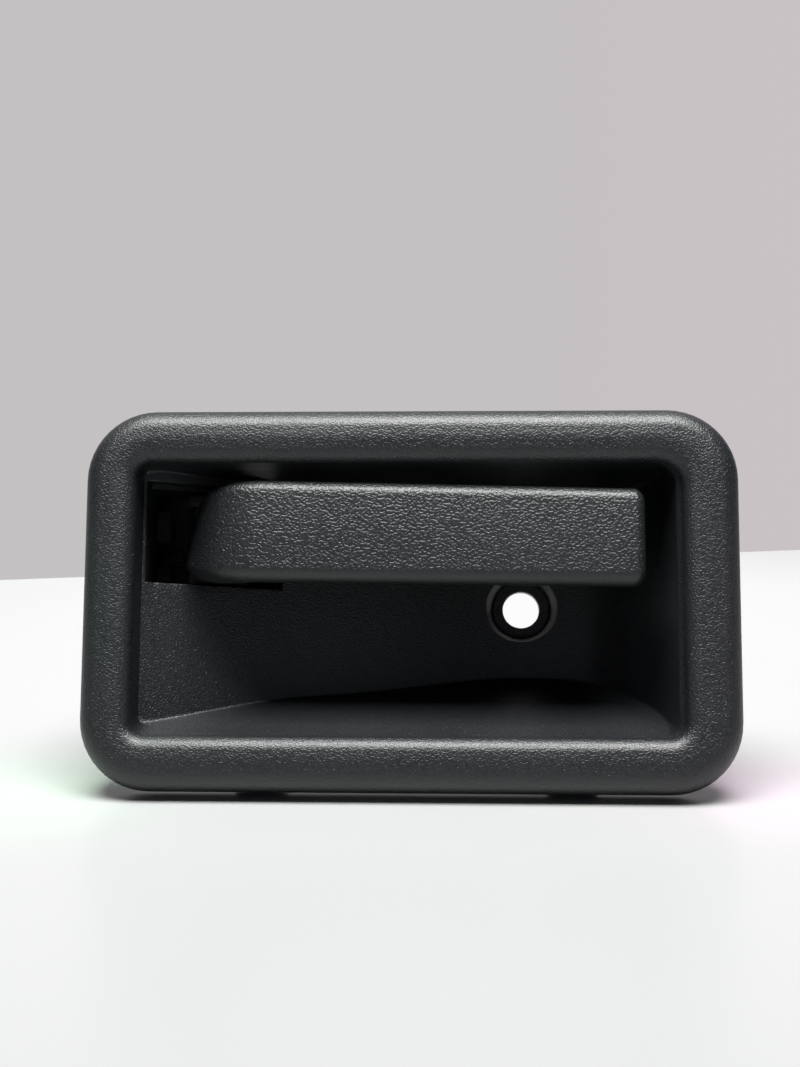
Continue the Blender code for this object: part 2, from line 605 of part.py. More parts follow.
def build():
    clear_scene()
    black = material("black_grained_plastic", (0.018, 0.021, 0.021), 0.46)
    carrier = material("black_glass_filled_plastic", (0.016, 0.017, 0.018), 0.5)
    foam = material("black_foam", (0.012, 0.012, 0.013), 0.95)
    zinc = material("zinc_plated_steel", (0.62, 0.61, 0.57), 0.34, 1.0)
    casting = material("black_coated_zinc", (0.02, 0.02, 0.021), 0.5)
    coated = material("black_coated_steel", (0.019, 0.019, 0.02), 0.42)
    spring = material("dark_spring_steel", (0.11, 0.105, 0.10), 0.38, 1.0)
    blued = material("phosphated_steel", (0.09, 0.09, 0.095), 0.45, 1.0)
    acetal = material("black_acetal", (0.02, 0.021, 0.022), 0.36)
    rubber = material("black_rubber", (0.02, 0.02, 0.02), 0.8)
    clip = material("green_acetal", (0.08, 0.27, 0.12), 0.42)

    housing(black)
    gasket(foam)
    lever_cover(black)
    lever_carrier(carrier)
    lever_root(casting)
    for i, z in enumerate(ROOT_SCREW_Z):
        root_screw(f"root_screw_{i + 1}", blued, z)
    pivot_pin(zinc)
    pin_clip(blued)
    ring_part("lower_bush", acetal, BUSH_INNER, BUSH_OUTER, LOWER_KNUCKLE, True)
    ring_part("upper_bush", acetal, BUSH_INNER, BUSH_OUTER, UPPER_KNUCKLE, True)
    ring_part("lower_washer", acetal, BUSH_INNER, 4.6, LOWER_WASHER, False)
    ring_part("upper_washer", acetal, BUSH_INNER, 4.6, UPPER_WASHER, False)
    return_spring(spring)
    crank_arm(coated)
    for i, (x, y) in enumerate(CRANK_SCREWS):
        crank_screw(f"crank_screw_{i + 1}", blued, x, y)
    rod_clip(clip)
    buffer("rest_buffer", rubber, (-49.9, -46.6), (9.5, 12.4), (4.5, 7.8))
    buffer("stop_buffer", rubber, (-49.9, -46.7), (9.0, 13.5), (12.4, 18.4))
    number = 1
    for side in (1, -1):
        for x in PANEL_CLIP_X:
            panel_clip(f"panel_clip_{number}", blued, x, side)
            number += 1


build()
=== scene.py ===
"""Interior car door handle: the finished look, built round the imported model.

X runs along the handle to the lever's free end, Y goes into the door and Z is up.
Shapes are written in millimetres and turned into metres as each mesh is made.
"""
import math

import bmesh
import bpy
import numpy as np
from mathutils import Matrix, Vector


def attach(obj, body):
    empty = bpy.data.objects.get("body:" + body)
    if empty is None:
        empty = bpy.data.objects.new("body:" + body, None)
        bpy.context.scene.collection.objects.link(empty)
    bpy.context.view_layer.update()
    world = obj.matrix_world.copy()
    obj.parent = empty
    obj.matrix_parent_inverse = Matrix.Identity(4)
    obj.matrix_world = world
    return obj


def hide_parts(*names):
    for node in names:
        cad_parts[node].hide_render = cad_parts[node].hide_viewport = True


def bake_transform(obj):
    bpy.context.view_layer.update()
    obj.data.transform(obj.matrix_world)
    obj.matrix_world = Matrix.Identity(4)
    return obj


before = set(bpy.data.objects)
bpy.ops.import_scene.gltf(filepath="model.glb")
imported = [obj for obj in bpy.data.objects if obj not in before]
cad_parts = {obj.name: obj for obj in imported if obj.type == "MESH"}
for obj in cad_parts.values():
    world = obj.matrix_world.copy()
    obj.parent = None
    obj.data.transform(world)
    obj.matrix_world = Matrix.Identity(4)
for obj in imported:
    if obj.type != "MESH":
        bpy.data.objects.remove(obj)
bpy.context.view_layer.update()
MM = 0.001

# ---------------------------------------------------------------------------------------------
# Camera and room. The handle leans back on a white table, resting on its frame's lower edge and
# on the clips behind it, so in the handle's own frame it is the table and the room that tilt.
# ---------------------------------------------------------------------------------------------
camera = bpy.data.objects.new("camera", bpy.data.cameras.new("camera"))
camera.data.sensor_width = 36.0
camera.data.lens = 53.98
camera.location = (0.01236, -0.29568, -0.02672)
camera.rotation_euler = [math.radians(a) for a in (97.602, -0.354, 2.732)]
bpy.context.scene.collection.objects.link(camera)
bpy.context.scene.camera = camera
bpy.context.scene.view_settings.view_transform = "Standard"

LEAN = math.radians(14.5)
room_up = Vector((0.0, -math.sin(LEAN), math.cos(LEAN)))
room_front = Vector((0.0, -math.cos(LEAN), -math.sin(LEAN)))


def room_point(side, toward_viewer, height):
    """A point in the room, in metres from where the frame's lower edge stands."""
    foot = Vector((0.0, 0.0, -0.0352))
    return foot + Vector((side, 0.0, 0.0)) + room_front * toward_viewer + room_up * height


def one_sided(name, make_shader):
    """A stage material that shows only its front, so that a view from behind sees past it."""
    made = bpy.data.materials.new(name)
    made.use_nodes = True
    nodes, links = made.node_tree.nodes, made.node_tree.links
    nodes.remove(nodes["Principled BSDF"])
    side = nodes.new("ShaderNodeNewGeometry")
    clear = nodes.new("ShaderNodeBsdfTransparent")
    choose = nodes.new("ShaderNodeMixShader")
    links.new(side.outputs["Backfacing"], choose.inputs["Fac"])
    links.new(make_shader(nodes, links), choose.inputs[1])
    links.new(clear.outputs["BSDF"], choose.inputs[2])
    links.new(choose.outputs["Shader"], nodes["Material Output"].inputs["Surface"])
    return made


def laminate(nodes, links):
    """White laminate, very slightly clouded in its gloss, with painted light that makes it a little paler
    towards its back edge.
    """
    shader = nodes.new("ShaderNodeBsdfPrincipled")
    shader.inputs["Specular IOR Level"].default_value = 0.3
    where = nodes.new("ShaderNodeTexCoord")
    split = nodes.new("ShaderNodeSeparateXYZ")
    away = nodes.new("ShaderNodeMapRange")
    away.inputs["From Min"].default_value = -0.17
    away.inputs["From Max"].default_value = 0.25
    # painted light: the base colour grows paler towards the back edge, standing in for the brighter light
    # that falls there
    white_with_painted_light = nodes.new("ShaderNodeMix")
    white_with_painted_light.data_type = "RGBA"
    white_with_painted_light.inputs["A"].default_value = (0.268, 0.270, 0.271, 1.0)
    white_with_painted_light.inputs["B"].default_value = (0.475, 0.483, 0.479, 1.0)
    links.new(where.outputs["Object"], split.inputs[0])
    links.new(split.outputs["Y"], away.inputs["Value"])
    links.new(away.outputs["Result"], white_with_painted_light.inputs["Factor"])
    links.new(white_with_painted_light.outputs["Result"], shader.inputs["Base Color"])
    cloud = nodes.new("ShaderNodeTexNoise")
    cloud.inputs["Scale"].default_value = 14.0
    gloss = nodes.new("ShaderNodeMapRange")
    gloss.inputs["To Min"].default_value = 0.24
    gloss.inputs["To Max"].default_value = 0.36
    links.new(where.outputs["Object"], cloud.inputs["Vector"])
    links.new(cloud.outputs["Fac"], gloss.inputs["Value"])
    links.new(gloss.outputs["Result"], shader.inputs["Roughness"])
    return shader.outputs["BSDF"]


def painted_wall(nodes, links):
    """A pale lilac-grey wall that glows evenly by its own emission, with painted pink light that makes it
    pinker to the right.
    """
    glow = nodes.new("ShaderNodeEmission")
    where = nodes.new("ShaderNodeTexCoord")
    split = nodes.new("ShaderNodeSeparateXYZ")
    across = nodes.new("ShaderNodeMapRange")
    across.inputs["From Min"].default_value = 0.02
    across.inputs["From Max"].default_value = 0.75
    # painted light: the wall's colour turns pinker towards the right, standing in for pink light falling on
    # that side
    painted_pink_light = nodes.new("ShaderNodeMix")
    painted_pink_light.data_type = "RGBA"
    painted_pink_light.inputs["A"].default_value = (0.555, 0.535, 0.54, 1.0)
    painted_pink_light.inputs["B"].default_value = (0.62, 0.545, 0.585, 1.0)
    links.new(where.outputs["Object"], split.inputs[0])
    links.new(split.outputs["X"], across.inputs["Value"])
    links.new(across.outputs["Result"], painted_pink_light.inputs["Factor"])
    links.new(painted_pink_light.outputs["Result"], glow.inputs["Color"])
    return glow.outputs["Emission"]


def stage_sheet(name, corners, material):
    mesh = bpy.data.meshes.new(name)
    mesh.from_pydata(corners, [], [(0, 1, 2, 3)])
    made = bpy.data.objects.new(name, mesh)
    bpy.context.scene.collection.objects.link(made)
    made.data.materials.append(material)


SEEN_BACK_LEFT, SEEN_BACK_RIGHT = Vector((-0.154, 0.253, 0.0302)), Vector((0.1384, 0.3316, 0.0506))
BACK_OVERHANG, TABLE_DEPTH = 1.2, 1.8
WALL_GAP, WALL_BELOW_TABLE, WALL_HEIGHT = 0.9, 0.4, 2.2
along_back = (SEEN_BACK_RIGHT - SEEN_BACK_LEFT).normalized()
back_left = SEEN_BACK_LEFT - along_back * BACK_OVERHANG
back_right = SEEN_BACK_RIGHT + along_back * BACK_OVERHANG
front_right = back_right + room_front * TABLE_DEPTH
front_left = back_left + room_front * TABLE_DEPTH
stage_sheet("table", [front_left, front_right, back_right, back_left], one_sided("white_laminate", laminate))
to_wall_foot = -room_front * WALL_GAP - room_up * WALL_BELOW_TABLE
wall_foot = [back_left + to_wall_foot, back_right + to_wall_foot]
wall_head = [corner + room_up * WALL_HEIGHT for corner in reversed(wall_foot)]
stage_sheet("wall", wall_foot + wall_head, one_sided("lilac_grey_wall", painted_wall))

world = bpy.data.worlds.new("room")
world.use_nodes = True
DIM_ROOM = (0.085, 0.095, 0.115, 1.0)
world.node_tree.nodes["Background"].inputs["Color"].default_value = DIM_ROOM
bpy.context.scene.world = world


def soft_light(name, place, aim, width, depth, power, colour, spread=180.0):
    """A rectangular diffuser at a place, facing the point it is aimed at; spread is its beam in degrees."""
    lamp = bpy.data.lights.new(name, "AREA")
    lamp.shape = "RECTANGLE"
    lamp.size, lamp.size_y = width, depth
    lamp.energy = power
    lamp.color = colour
    lamp.spread = math.radians(spread)
    made = bpy.data.objects.new(name, lamp)
    made.location = place
    made.rotation_euler = (aim - place).to_track_quat("-Z", "Y").to_euler()
    bpy.context.scene.collection.objects.link(made)


handle_centre = Vector((0.0, 0.0, 0.0))
over_handle = room_point(0.0, 0.17, 0.85)
soft_light("ceiling_panel", over_handle, handle_centre, 0.7, 0.42, 24.0, (1.0, 1.0, 0.99))
for name, side, colour in (("green_glow", -0.071, (0.3, 1.0, 0.4)), ("pink_glow", 0.072, (1.0, 0.35, 0.8))):
    above, table_spot = room_point(side, 0.0, 0.06), room_point(side, 0.0, 0.0)
    soft_light(name, above, table_spot, 0.02, 0.02, 0.003, colour, 70.0)

# ---------------------------------------------------------------------------------------------
# The cup and its frame: one injection moulding in black polypropylene with a leather grain on
# every face the user sees. The frame is a crowned band with a lip that turns back to the door
# panel; the rear is plain, with the pivot box, the screw boss, ribs and clip tongues moulded on.
# ---------------------------------------------------------------------------------------------
FRAME_HALF_WIDTH, FRAME_HALF_HEIGHT, FRAME_CORNER = 60.0, 35.0, 13.0
FRAME_FRONT = -9.0
LIP = 2.5
CHANNEL_FLOOR = -6.0
WALL = 2.5
OPENING = (-50.4, 49.5, -24.9, 25.1)
MOUTH_RADII = (4.5, 2.6, 2.6, 3.0)
MOUTH_ROUNDING, EDGE_ROUNDING, EDGE_DEPTH = 3.0, 4.2, 4.4
CROWN = 0.12
BOTTOM_AT_0, BOTTOM_SLOPE, TOP_AT_0, TOP_SLOPE = -22.8, 0.377, 25.3, 0.10
FLOOR = np.array([
    (-50.4, 0.0), (-45.0, 3.0), (-39.8, 6.0), (-33.7, 9.4), (-27.5, 12.6), (-21.9, 14.8),
    (-16.5, 16.0), (-11.0, 17.2), (-2.7, 19.6), (5.0, 22.4), (13.0, 25.0), (20.4, 26.3),
    (27.9, 25.6), (34.3, 23.2), (38.3, 19.6), (41.4, 15.4), (44.2, 11.2), (45.9, 7.6),
    (47.4, 2.0), (48.6, -5.3),
])
SLOT_X, SLOT_Z = (-49.8, -25.5), (3.7, 22.9)
SCREW_X, SCREW_Z = 21.3, 1.1
PIVOT_X, PIVOT_Y = -39.0, 15.0
EARS = ((-0.5, 3.0), (22.1, 27.0))
BOX_RIGHT = -22.5
CRANK_Z = (18.9, 20.9)
CORNER_STEPS, LONG_STEPS, SHORT_STEPS = 12, 52, 20


def smooth_path(points, steps):
    """A smooth curve through the points, with this many steps between each pair."""
    padded = np.vstack([points[0], points, points[-1]])
    found = []
    for i in range(len(points) - 1):
        a, b, c, d = padded[i:i + 4]
        for t in np.linspace(0.0, 1.0, steps, endpoint=False):
            found.append(0.5 * (
                2 * b + (c - a) * t + (2 * a - 5 * b + 4 * c - d) * t * t + (3 * b - a - 3 * c + d) * t ** 3
            ))
    found.append(points[-1])
    return np.array(found)


floor_path = smooth_path(FLOOR, 12)


def cup_limits(y, thickness):
    """How far the hollow reaches at a depth, or the outside of its walls for a thickness."""
    step = np.gradient(floor_path, axis=0)
    step /= np.linalg.norm(step, axis=1)[:, None]
    path = floor_path + np.column_stack([-step[:, 1], step[:, 0]]) * thickness
    deepest = int(path[:, 1].argmax())
    left_side = np.vstack([[OPENING[0] - thickness, -0.02], path[:deepest + 1]])
    right_side = np.vstack([path[deepest:], [OPENING[1] + thickness, -6.2]])[::-1]
    left = np.interp(y, np.maximum.accumulate(left_side[:, 1]), left_side[:, 0])
    right = np.interp(y, np.maximum.accumulate(right_side[:, 1]), right_side[:, 0])
    bottom = BOTTOM_AT_0 + BOTTOM_SLOPE * y - thickness * math.hypot(1.0, BOTTOM_SLOPE)
    top = TOP_AT_0 - TOP_SLOPE * y + thickness * math.hypot(1.0, TOP_SLOPE)
    return left, right, max(OPENING[2] - thickness, bottom), min(OPENING[3] + thickness, top)


def ring(limits, radii, y):
    """A rounded rectangle of points at one depth: its corners start at the top right and go round."""
    left, right, bottom, top = limits
    room = 0.49 * min(right - left, top - bottom)
    radii = [min(r, room) for r in radii]
    centres = (
        (right - radii[0], top - radii[0]), (left + radii[1], top - radii[1]),
        (left + radii[2], bottom + radii[2]), (right - radii[3], bottom + radii[3]),
    )
    corners = []
    for i, (cx, cz) in enumerate(centres):
        angles = np.radians(np.linspace(90.0 * i, 90.0 * i + 90.0, CORNER_STEPS + 1))
        corners.append(np.column_stack([cx + radii[i] * np.cos(angles), cz + radii[i] * np.sin(angles)]))
    points = []
    for i, count in enumerate((LONG_STEPS, SHORT_STEPS, LONG_STEPS, SHORT_STEPS)):
        points.append(corners[i])
        ahead = corners[(i + 1) % 4][0]
        share = np.linspace(0.0, 1.0, count + 1)[1:-1, None]
        points.append(corners[i][-1] * (1 - share) + ahead * share)
    flat = np.vstack(points)
    return np.column_stack([flat[:, 0], np.full(len(flat), y), flat[:, 1]])


def cup_ring(y, thickness):
    """The hollow's outline at a depth; its corners are wide at the mouth and tight inside."""
    left_fade = min(max((1.2 - y) / 2.4, 0.0), 1.0)
    right_fade = min(max((0.5 - y) / 6.5, 0.0), 1.0)
    radii = [
        0.9 + (MOUTH_RADII[0] - 0.9) * right_fade, 0.5 + (MOUTH_RADII[1] - 0.5) * left_fade,
        0.5 + (MOUTH_RADII[2] - 0.5) * left_fade, 0.7 + (MOUTH_RADII[3] - 0.7) * right_fade,
    ]
    return ring(cup_limits(y, thickness), [r + thickness for r in radii], y)


def rings_to_floor(thickness, count):
    """Rings of the cup from its mouth to its deepest point, closer together as the floor flattens."""
    deepest = float(floor_path[:, 1].max()) + thickness
    depths = [deepest * (1.0 - (1.0 - s) ** 1.8) for s in np.linspace(0.0, 1.0, count)[1:-1]]
    return [cup_ring(y, thickness) for y in depths + [deepest - 0.002]]


def frame_ring(inset, y):
    """The frame's outline at a depth, moved in by an inset."""
    half_x, half_z = FRAME_HALF_WIDTH - inset, FRAME_HALF_HEIGHT - inset
    return ring((-half_x, half_x, -half_z, half_z), [FRAME_CORNER - inset] * 4, y)


def opening_ring(grow, y):
    """The mouth of the cup at a depth, grown outward."""
    limits = (OPENING[0] - grow, OPENING[1] + grow, OPENING[2] - grow, OPENING[3] + grow)
    return ring(limits, [r + grow for r in MOUTH_RADII], y)


def mesh_from(name, points, faces, slots=None):
    """An object from points in millimetres, closed, with its faces outward."""
    mesh = bpy.data.meshes.new(name)
    mesh.from_pydata([tuple(float(c) * MM for c in p) for p in points], [], faces)
    if slots is not None:
        mesh.polygons.foreach_set("material_index", slots)
    work = bmesh.new()
    work.from_mesh(mesh)
    bmesh.ops.recalc_face_normals(work, faces=work.faces)
    work.to_mesh(mesh)
    work.free()
    made = bpy.data.objects.new(name, mesh)
    bpy.context.scene.collection.objects.link(made)
    return made


def loft(name, rings, slots=None):
    """A closed solid through rings of the same number of points; slots gives each band's material."""
    count = len(rings[0])
    faces = [list(range(count)), list(range((len(rings) - 1) * count, len(rings) * count))]
    bands = [0, 0] if slots is None else [slots[0], slots[-1]]
    for r in range(len(rings) - 1):
        for i in range(count):
            j = (i + 1) % count
            faces.append((r * count + i, r * count + j, (r + 1) * count + j, (r + 1) * count + i))
            bands.append(0 if slots is None else slots[r])
    return mesh_from(name, np.vstack(rings), faces, bands)


def axis_point(axis, u, v, w):
    return {"X": (w, u, v), "Y": (u, w, v), "Z": (u, v, w)}[axis]


def prism(name, outline, axis, low, high, slot=0):
    rings = [np.array([axis_point(axis, u, v, w) for u, v in outline]) for w in (low, high)]
    return loft(name, rings, [slot])


def turned(name, axis, centre, profile, count=48, slot=0):
    """A solid turned about an axis, from (position along the axis, radius) pairs."""
    angles = np.linspace(0.0, 2 * math.pi, count, endpoint=False)
    rings = []
    for w, radius in profile:
        spots = [(centre[0] + radius * math.cos(a), centre[1] + radius * math.sin(a)) for a in angles]
        rings.append(np.array([axis_point(axis, u, v, w) for u, v in spots]))
    return loft(name, rings, [slot] * (len(profile) - 1))


def soften(made, width, segments=2):
    """Rounds every sharp edge of a simple solid."""
    work = bmesh.new()
    work.from_mesh(made.data)
    sharp = [e for e in work.edges if e.is_manifold and e.calc_face_angle() > math.radians(32.0)]
    bmesh.ops.bevel(
        work, geom=sharp, offset=width * MM, segments=segments, profile=0.5,
        affect="EDGES", clamp_overlap=True,
    )
    work.to_mesh(made.data)
    work.free()
    return made


def block(name, x, y, z, round_by=0.4, slot=1):
    outline = [(x[0], y[0]), (x[1], y[0]), (x[1], y[1]), (x[0], y[1])]
    return soften(prism(name, outline, "Z", z[0], z[1], slot), round_by)


def combine(target, tool, operation):
    """Joins the tool to the target or cuts it away, and removes the tool."""
    modifier = target.modifiers.new("combine", "BOOLEAN")
    modifier.operation = operation
    modifier.solver = "EXACT"
    modifier.object = tool
    graph = bpy.context.evaluated_depsgraph_get()
    mesh = bpy.data.meshes.new_from_object(target.evaluated_get(graph))
    target.modifiers.clear()
    target.data = mesh
    bpy.data.objects.remove(tool, do_unlink=True)
    return target


def shade(made, angle=32.0):
    made.data.polygons.foreach_set("use_smooth", [True] * len(made.data.polygons))
    made.data.set_sharp_from_angle(angle=math.radians(angle))


rings = rings_to_floor(0.0, 92)
rings.reverse()
for y in np.linspace(0.0, -6.0, 14):
    rings.append(cup_ring(y, 0.0))
for angle in np.radians(np.linspace(90.0, 0.0, 11)[1:]):
    grow = MOUTH_ROUNDING * (1.0 - math.sin(angle))
    rings.append(opening_ring(grow, FRAME_FRONT + CROWN + (MOUTH_ROUNDING - CROWN) * (1.0 - math.cos(angle))))
mouth_edge, outer_edge = rings[-1], frame_ring(EDGE_ROUNDING, FRAME_FRONT + 0.14)
for share in np.linspace(0.0, 1.0, 7)[1:-1]:
    band = mouth_edge * (1 - share) + outer_edge * share
    band[:, 1] -= CROWN * 4 * share * (1 - share)
    rings.append(band)
for angle in np.radians(np.linspace(0.0, 90.0, 13)):
    inset = EDGE_ROUNDING * (1.0 - math.sin(angle))
    rings.append(frame_ring(inset, FRAME_FRONT + 0.14 + EDGE_DEPTH * (1.0 - math.cos(angle))))
rings.append(frame_ring(0.0, -0.4))
grained_rings = len(rings)
for ring_of, reach, y in (
    (frame_ring, 0.12, -0.1), (frame_ring, 0.35, 0.0),
    (frame_ring, LIP - 0.25, 0.0), (frame_ring, LIP, -0.25),
    (frame_ring, LIP, CHANNEL_FLOOR + 0.3), (frame_ring, LIP + 0.3, CHANNEL_FLOOR),
    (opening_ring, WALL + 0.3, CHANNEL_FLOOR), (opening_ring, WALL, CHANNEL_FLOOR + 0.3),
):
    rings.append(ring_of(reach, y))
for y in np.linspace(-5.0, 0.0, 5):
    rings.append(cup_ring(y, WALL))
rings += rings_to_floor(WALL, 50)
bands = [0] * (grained_rings - 1) + [1] * (len(rings) - grained_rings)
cup = loft("cup_moulding", rings, bands)


rear = block("rear", (-52.7, -50.2), (1.3, 22.5), (-0.4, 26.9))
for z in EARS:
    combine(rear, block("ear", (-51.5, BOX_RIGHT), (2.0, 22.3), z), "UNION")
combine(rear, block("box_side", (BOX_RIGHT - 1.6, BOX_RIGHT - 0.1), (12.0, 22.2), (-0.3, 26.8)), "UNION")
combine(rear, block("box_rear", (-51.0, BOX_RIGHT - 0.2), (20.7, 22.4), (-0.3, 26.8)), "UNION")
combine(rear, block("spring_stop", (-50.9, -46.5), (20.0, 21.4), (8.6, 12.0), 0.2), "UNION")
boss = [(12.0, 9.3), (32.8, 9.3), (33.1, 9.15), (33.2, 8.85)]
combine(rear, turned("boss", "Y", (SCREW_X, SCREW_Z), boss, 64, 1), "UNION")
combine(rear, block("rib", (SCREW_X - 1.0, SCREW_X + 1.0), (16.0, 31.0), (-14.0, 22.0)), "UNION")
combine(rear, block("rib", (2.0, 40.0), (16.0, 31.0), (SCREW_Z - 1.0, SCREW_Z + 1.0)), "UNION")
for x in (-28.0, 30.0):
    for side, web_root in ((1, 25.9), (-1, -19.0)):
        tongue_z = sorted((side * 29.4, side * 31.0))
        combine(rear, block("tongue", (x - 4.0, x + 4.0), (4.2, 13.0), tongue_z, 0.3), "UNION")
        web_z = sorted((web_root, side * 30.9))
        combine(rear, block("web", (x - 3.9, x + 3.9), (11.4, 12.9), web_z, 0.2), "UNION")
IN_THE_WALL = 1.3
hollow = [cup_ring(y, IN_THE_WALL) for y in np.linspace(-7.5, 0.0, 6)] + rings_to_floor(IN_THE_WALL, 60)
combine(rear, loft("inside_of_cup", hollow), "DIFFERENCE")
combine(cup, rear, "UNION")

slot_outline = [(SLOT_X[0], -2.5), (SLOT_X[1], 11.5), (SLOT_X[1], 17.6), (SLOT_X[0], 4.6)]
combine(cup, prism("slot", slot_outline, "Z", *SLOT_Z, 1), "DIFFERENCE")
window_z = (CRANK_Z[0] - 0.3, CRANK_Z[1] + 0.3)
combine(cup, block("crank_window", (-43.9, -29.0), (20.0, 23.0), window_z, 0.05), "DIFFERENCE")
counterbore = [(18.0, 7.3), (25.7, 7.2), (26.3, 6.8), (30.0, 5.75), (30.2, 5.6)]
combine(cup, turned("counterbore", "Y", (SCREW_X, SCREW_Z), counterbore, 72, 1), "DIFFERENCE")
hole = [(20.0, 4.05), (30.15, 4.05), (30.5, 3.7), (33.0, 3.7), (33.5, 4.2), (36.0, 4.2)]
combine(cup, turned("screw_hole", "Y", (SCREW_X, SCREW_Z), hole, 64, 1), "DIFFERENCE")
PIN_BORE = 2.3
for low, high in EARS:
    bore = [(low - 1, PIN_BORE), (high + 1, PIN_BORE)]
    combine(cup, turned("pin_bore", "Z", (PIVOT_X, PIVOT_Y), bore, 40, 1), "DIFFERENCE")


def on_slot_rim(vert):
    """Whether a corner lies where the slot's sides come out through the ramp."""
    x, y, z = (c / MM for c in vert.co)
    if not (SLOT_X[0] - 0.05 < x < SLOT_X[1] + 0.05 and SLOT_Z[0] - 0.05 < z < SLOT_Z[1] + 0.05):
        return False
    off_side = min(abs(z - SLOT_Z[0]), abs(z - SLOT_Z[1]), abs(x - SLOT_X[0]), abs(x - SLOT_X[1]))
    off_ramp = abs(y - float(np.interp(x, floor_path[:, 0], floor_path[:, 1])))
    return off_side < 0.02 and off_ramp < 0.12


def round_slot_rim(made, width):
    """A small radius on the slot's rim, where the ramp's face ends."""
    work = bmesh.new()
    work.from_mesh(made.data)
    bmesh.ops.remove_doubles(work, verts=work.verts, dist=0.00002)
    on_rim = [e for e in work.edges if e.is_manifold and all(on_slot_rim(v) for v in e.verts)]
    sharp = [e for e in on_rim if e.calc_face_angle() > math.radians(30.0)]
    bmesh.ops.bevel(
        work, geom=sharp, offset=width * MM, segments=3, profile=0.5, affect="EDGES", clamp_overlap=False
    )
    work.to_mesh(made.data)
    work.free()


round_slot_rim(cup, 0.25)
shade(cup, 30.0)


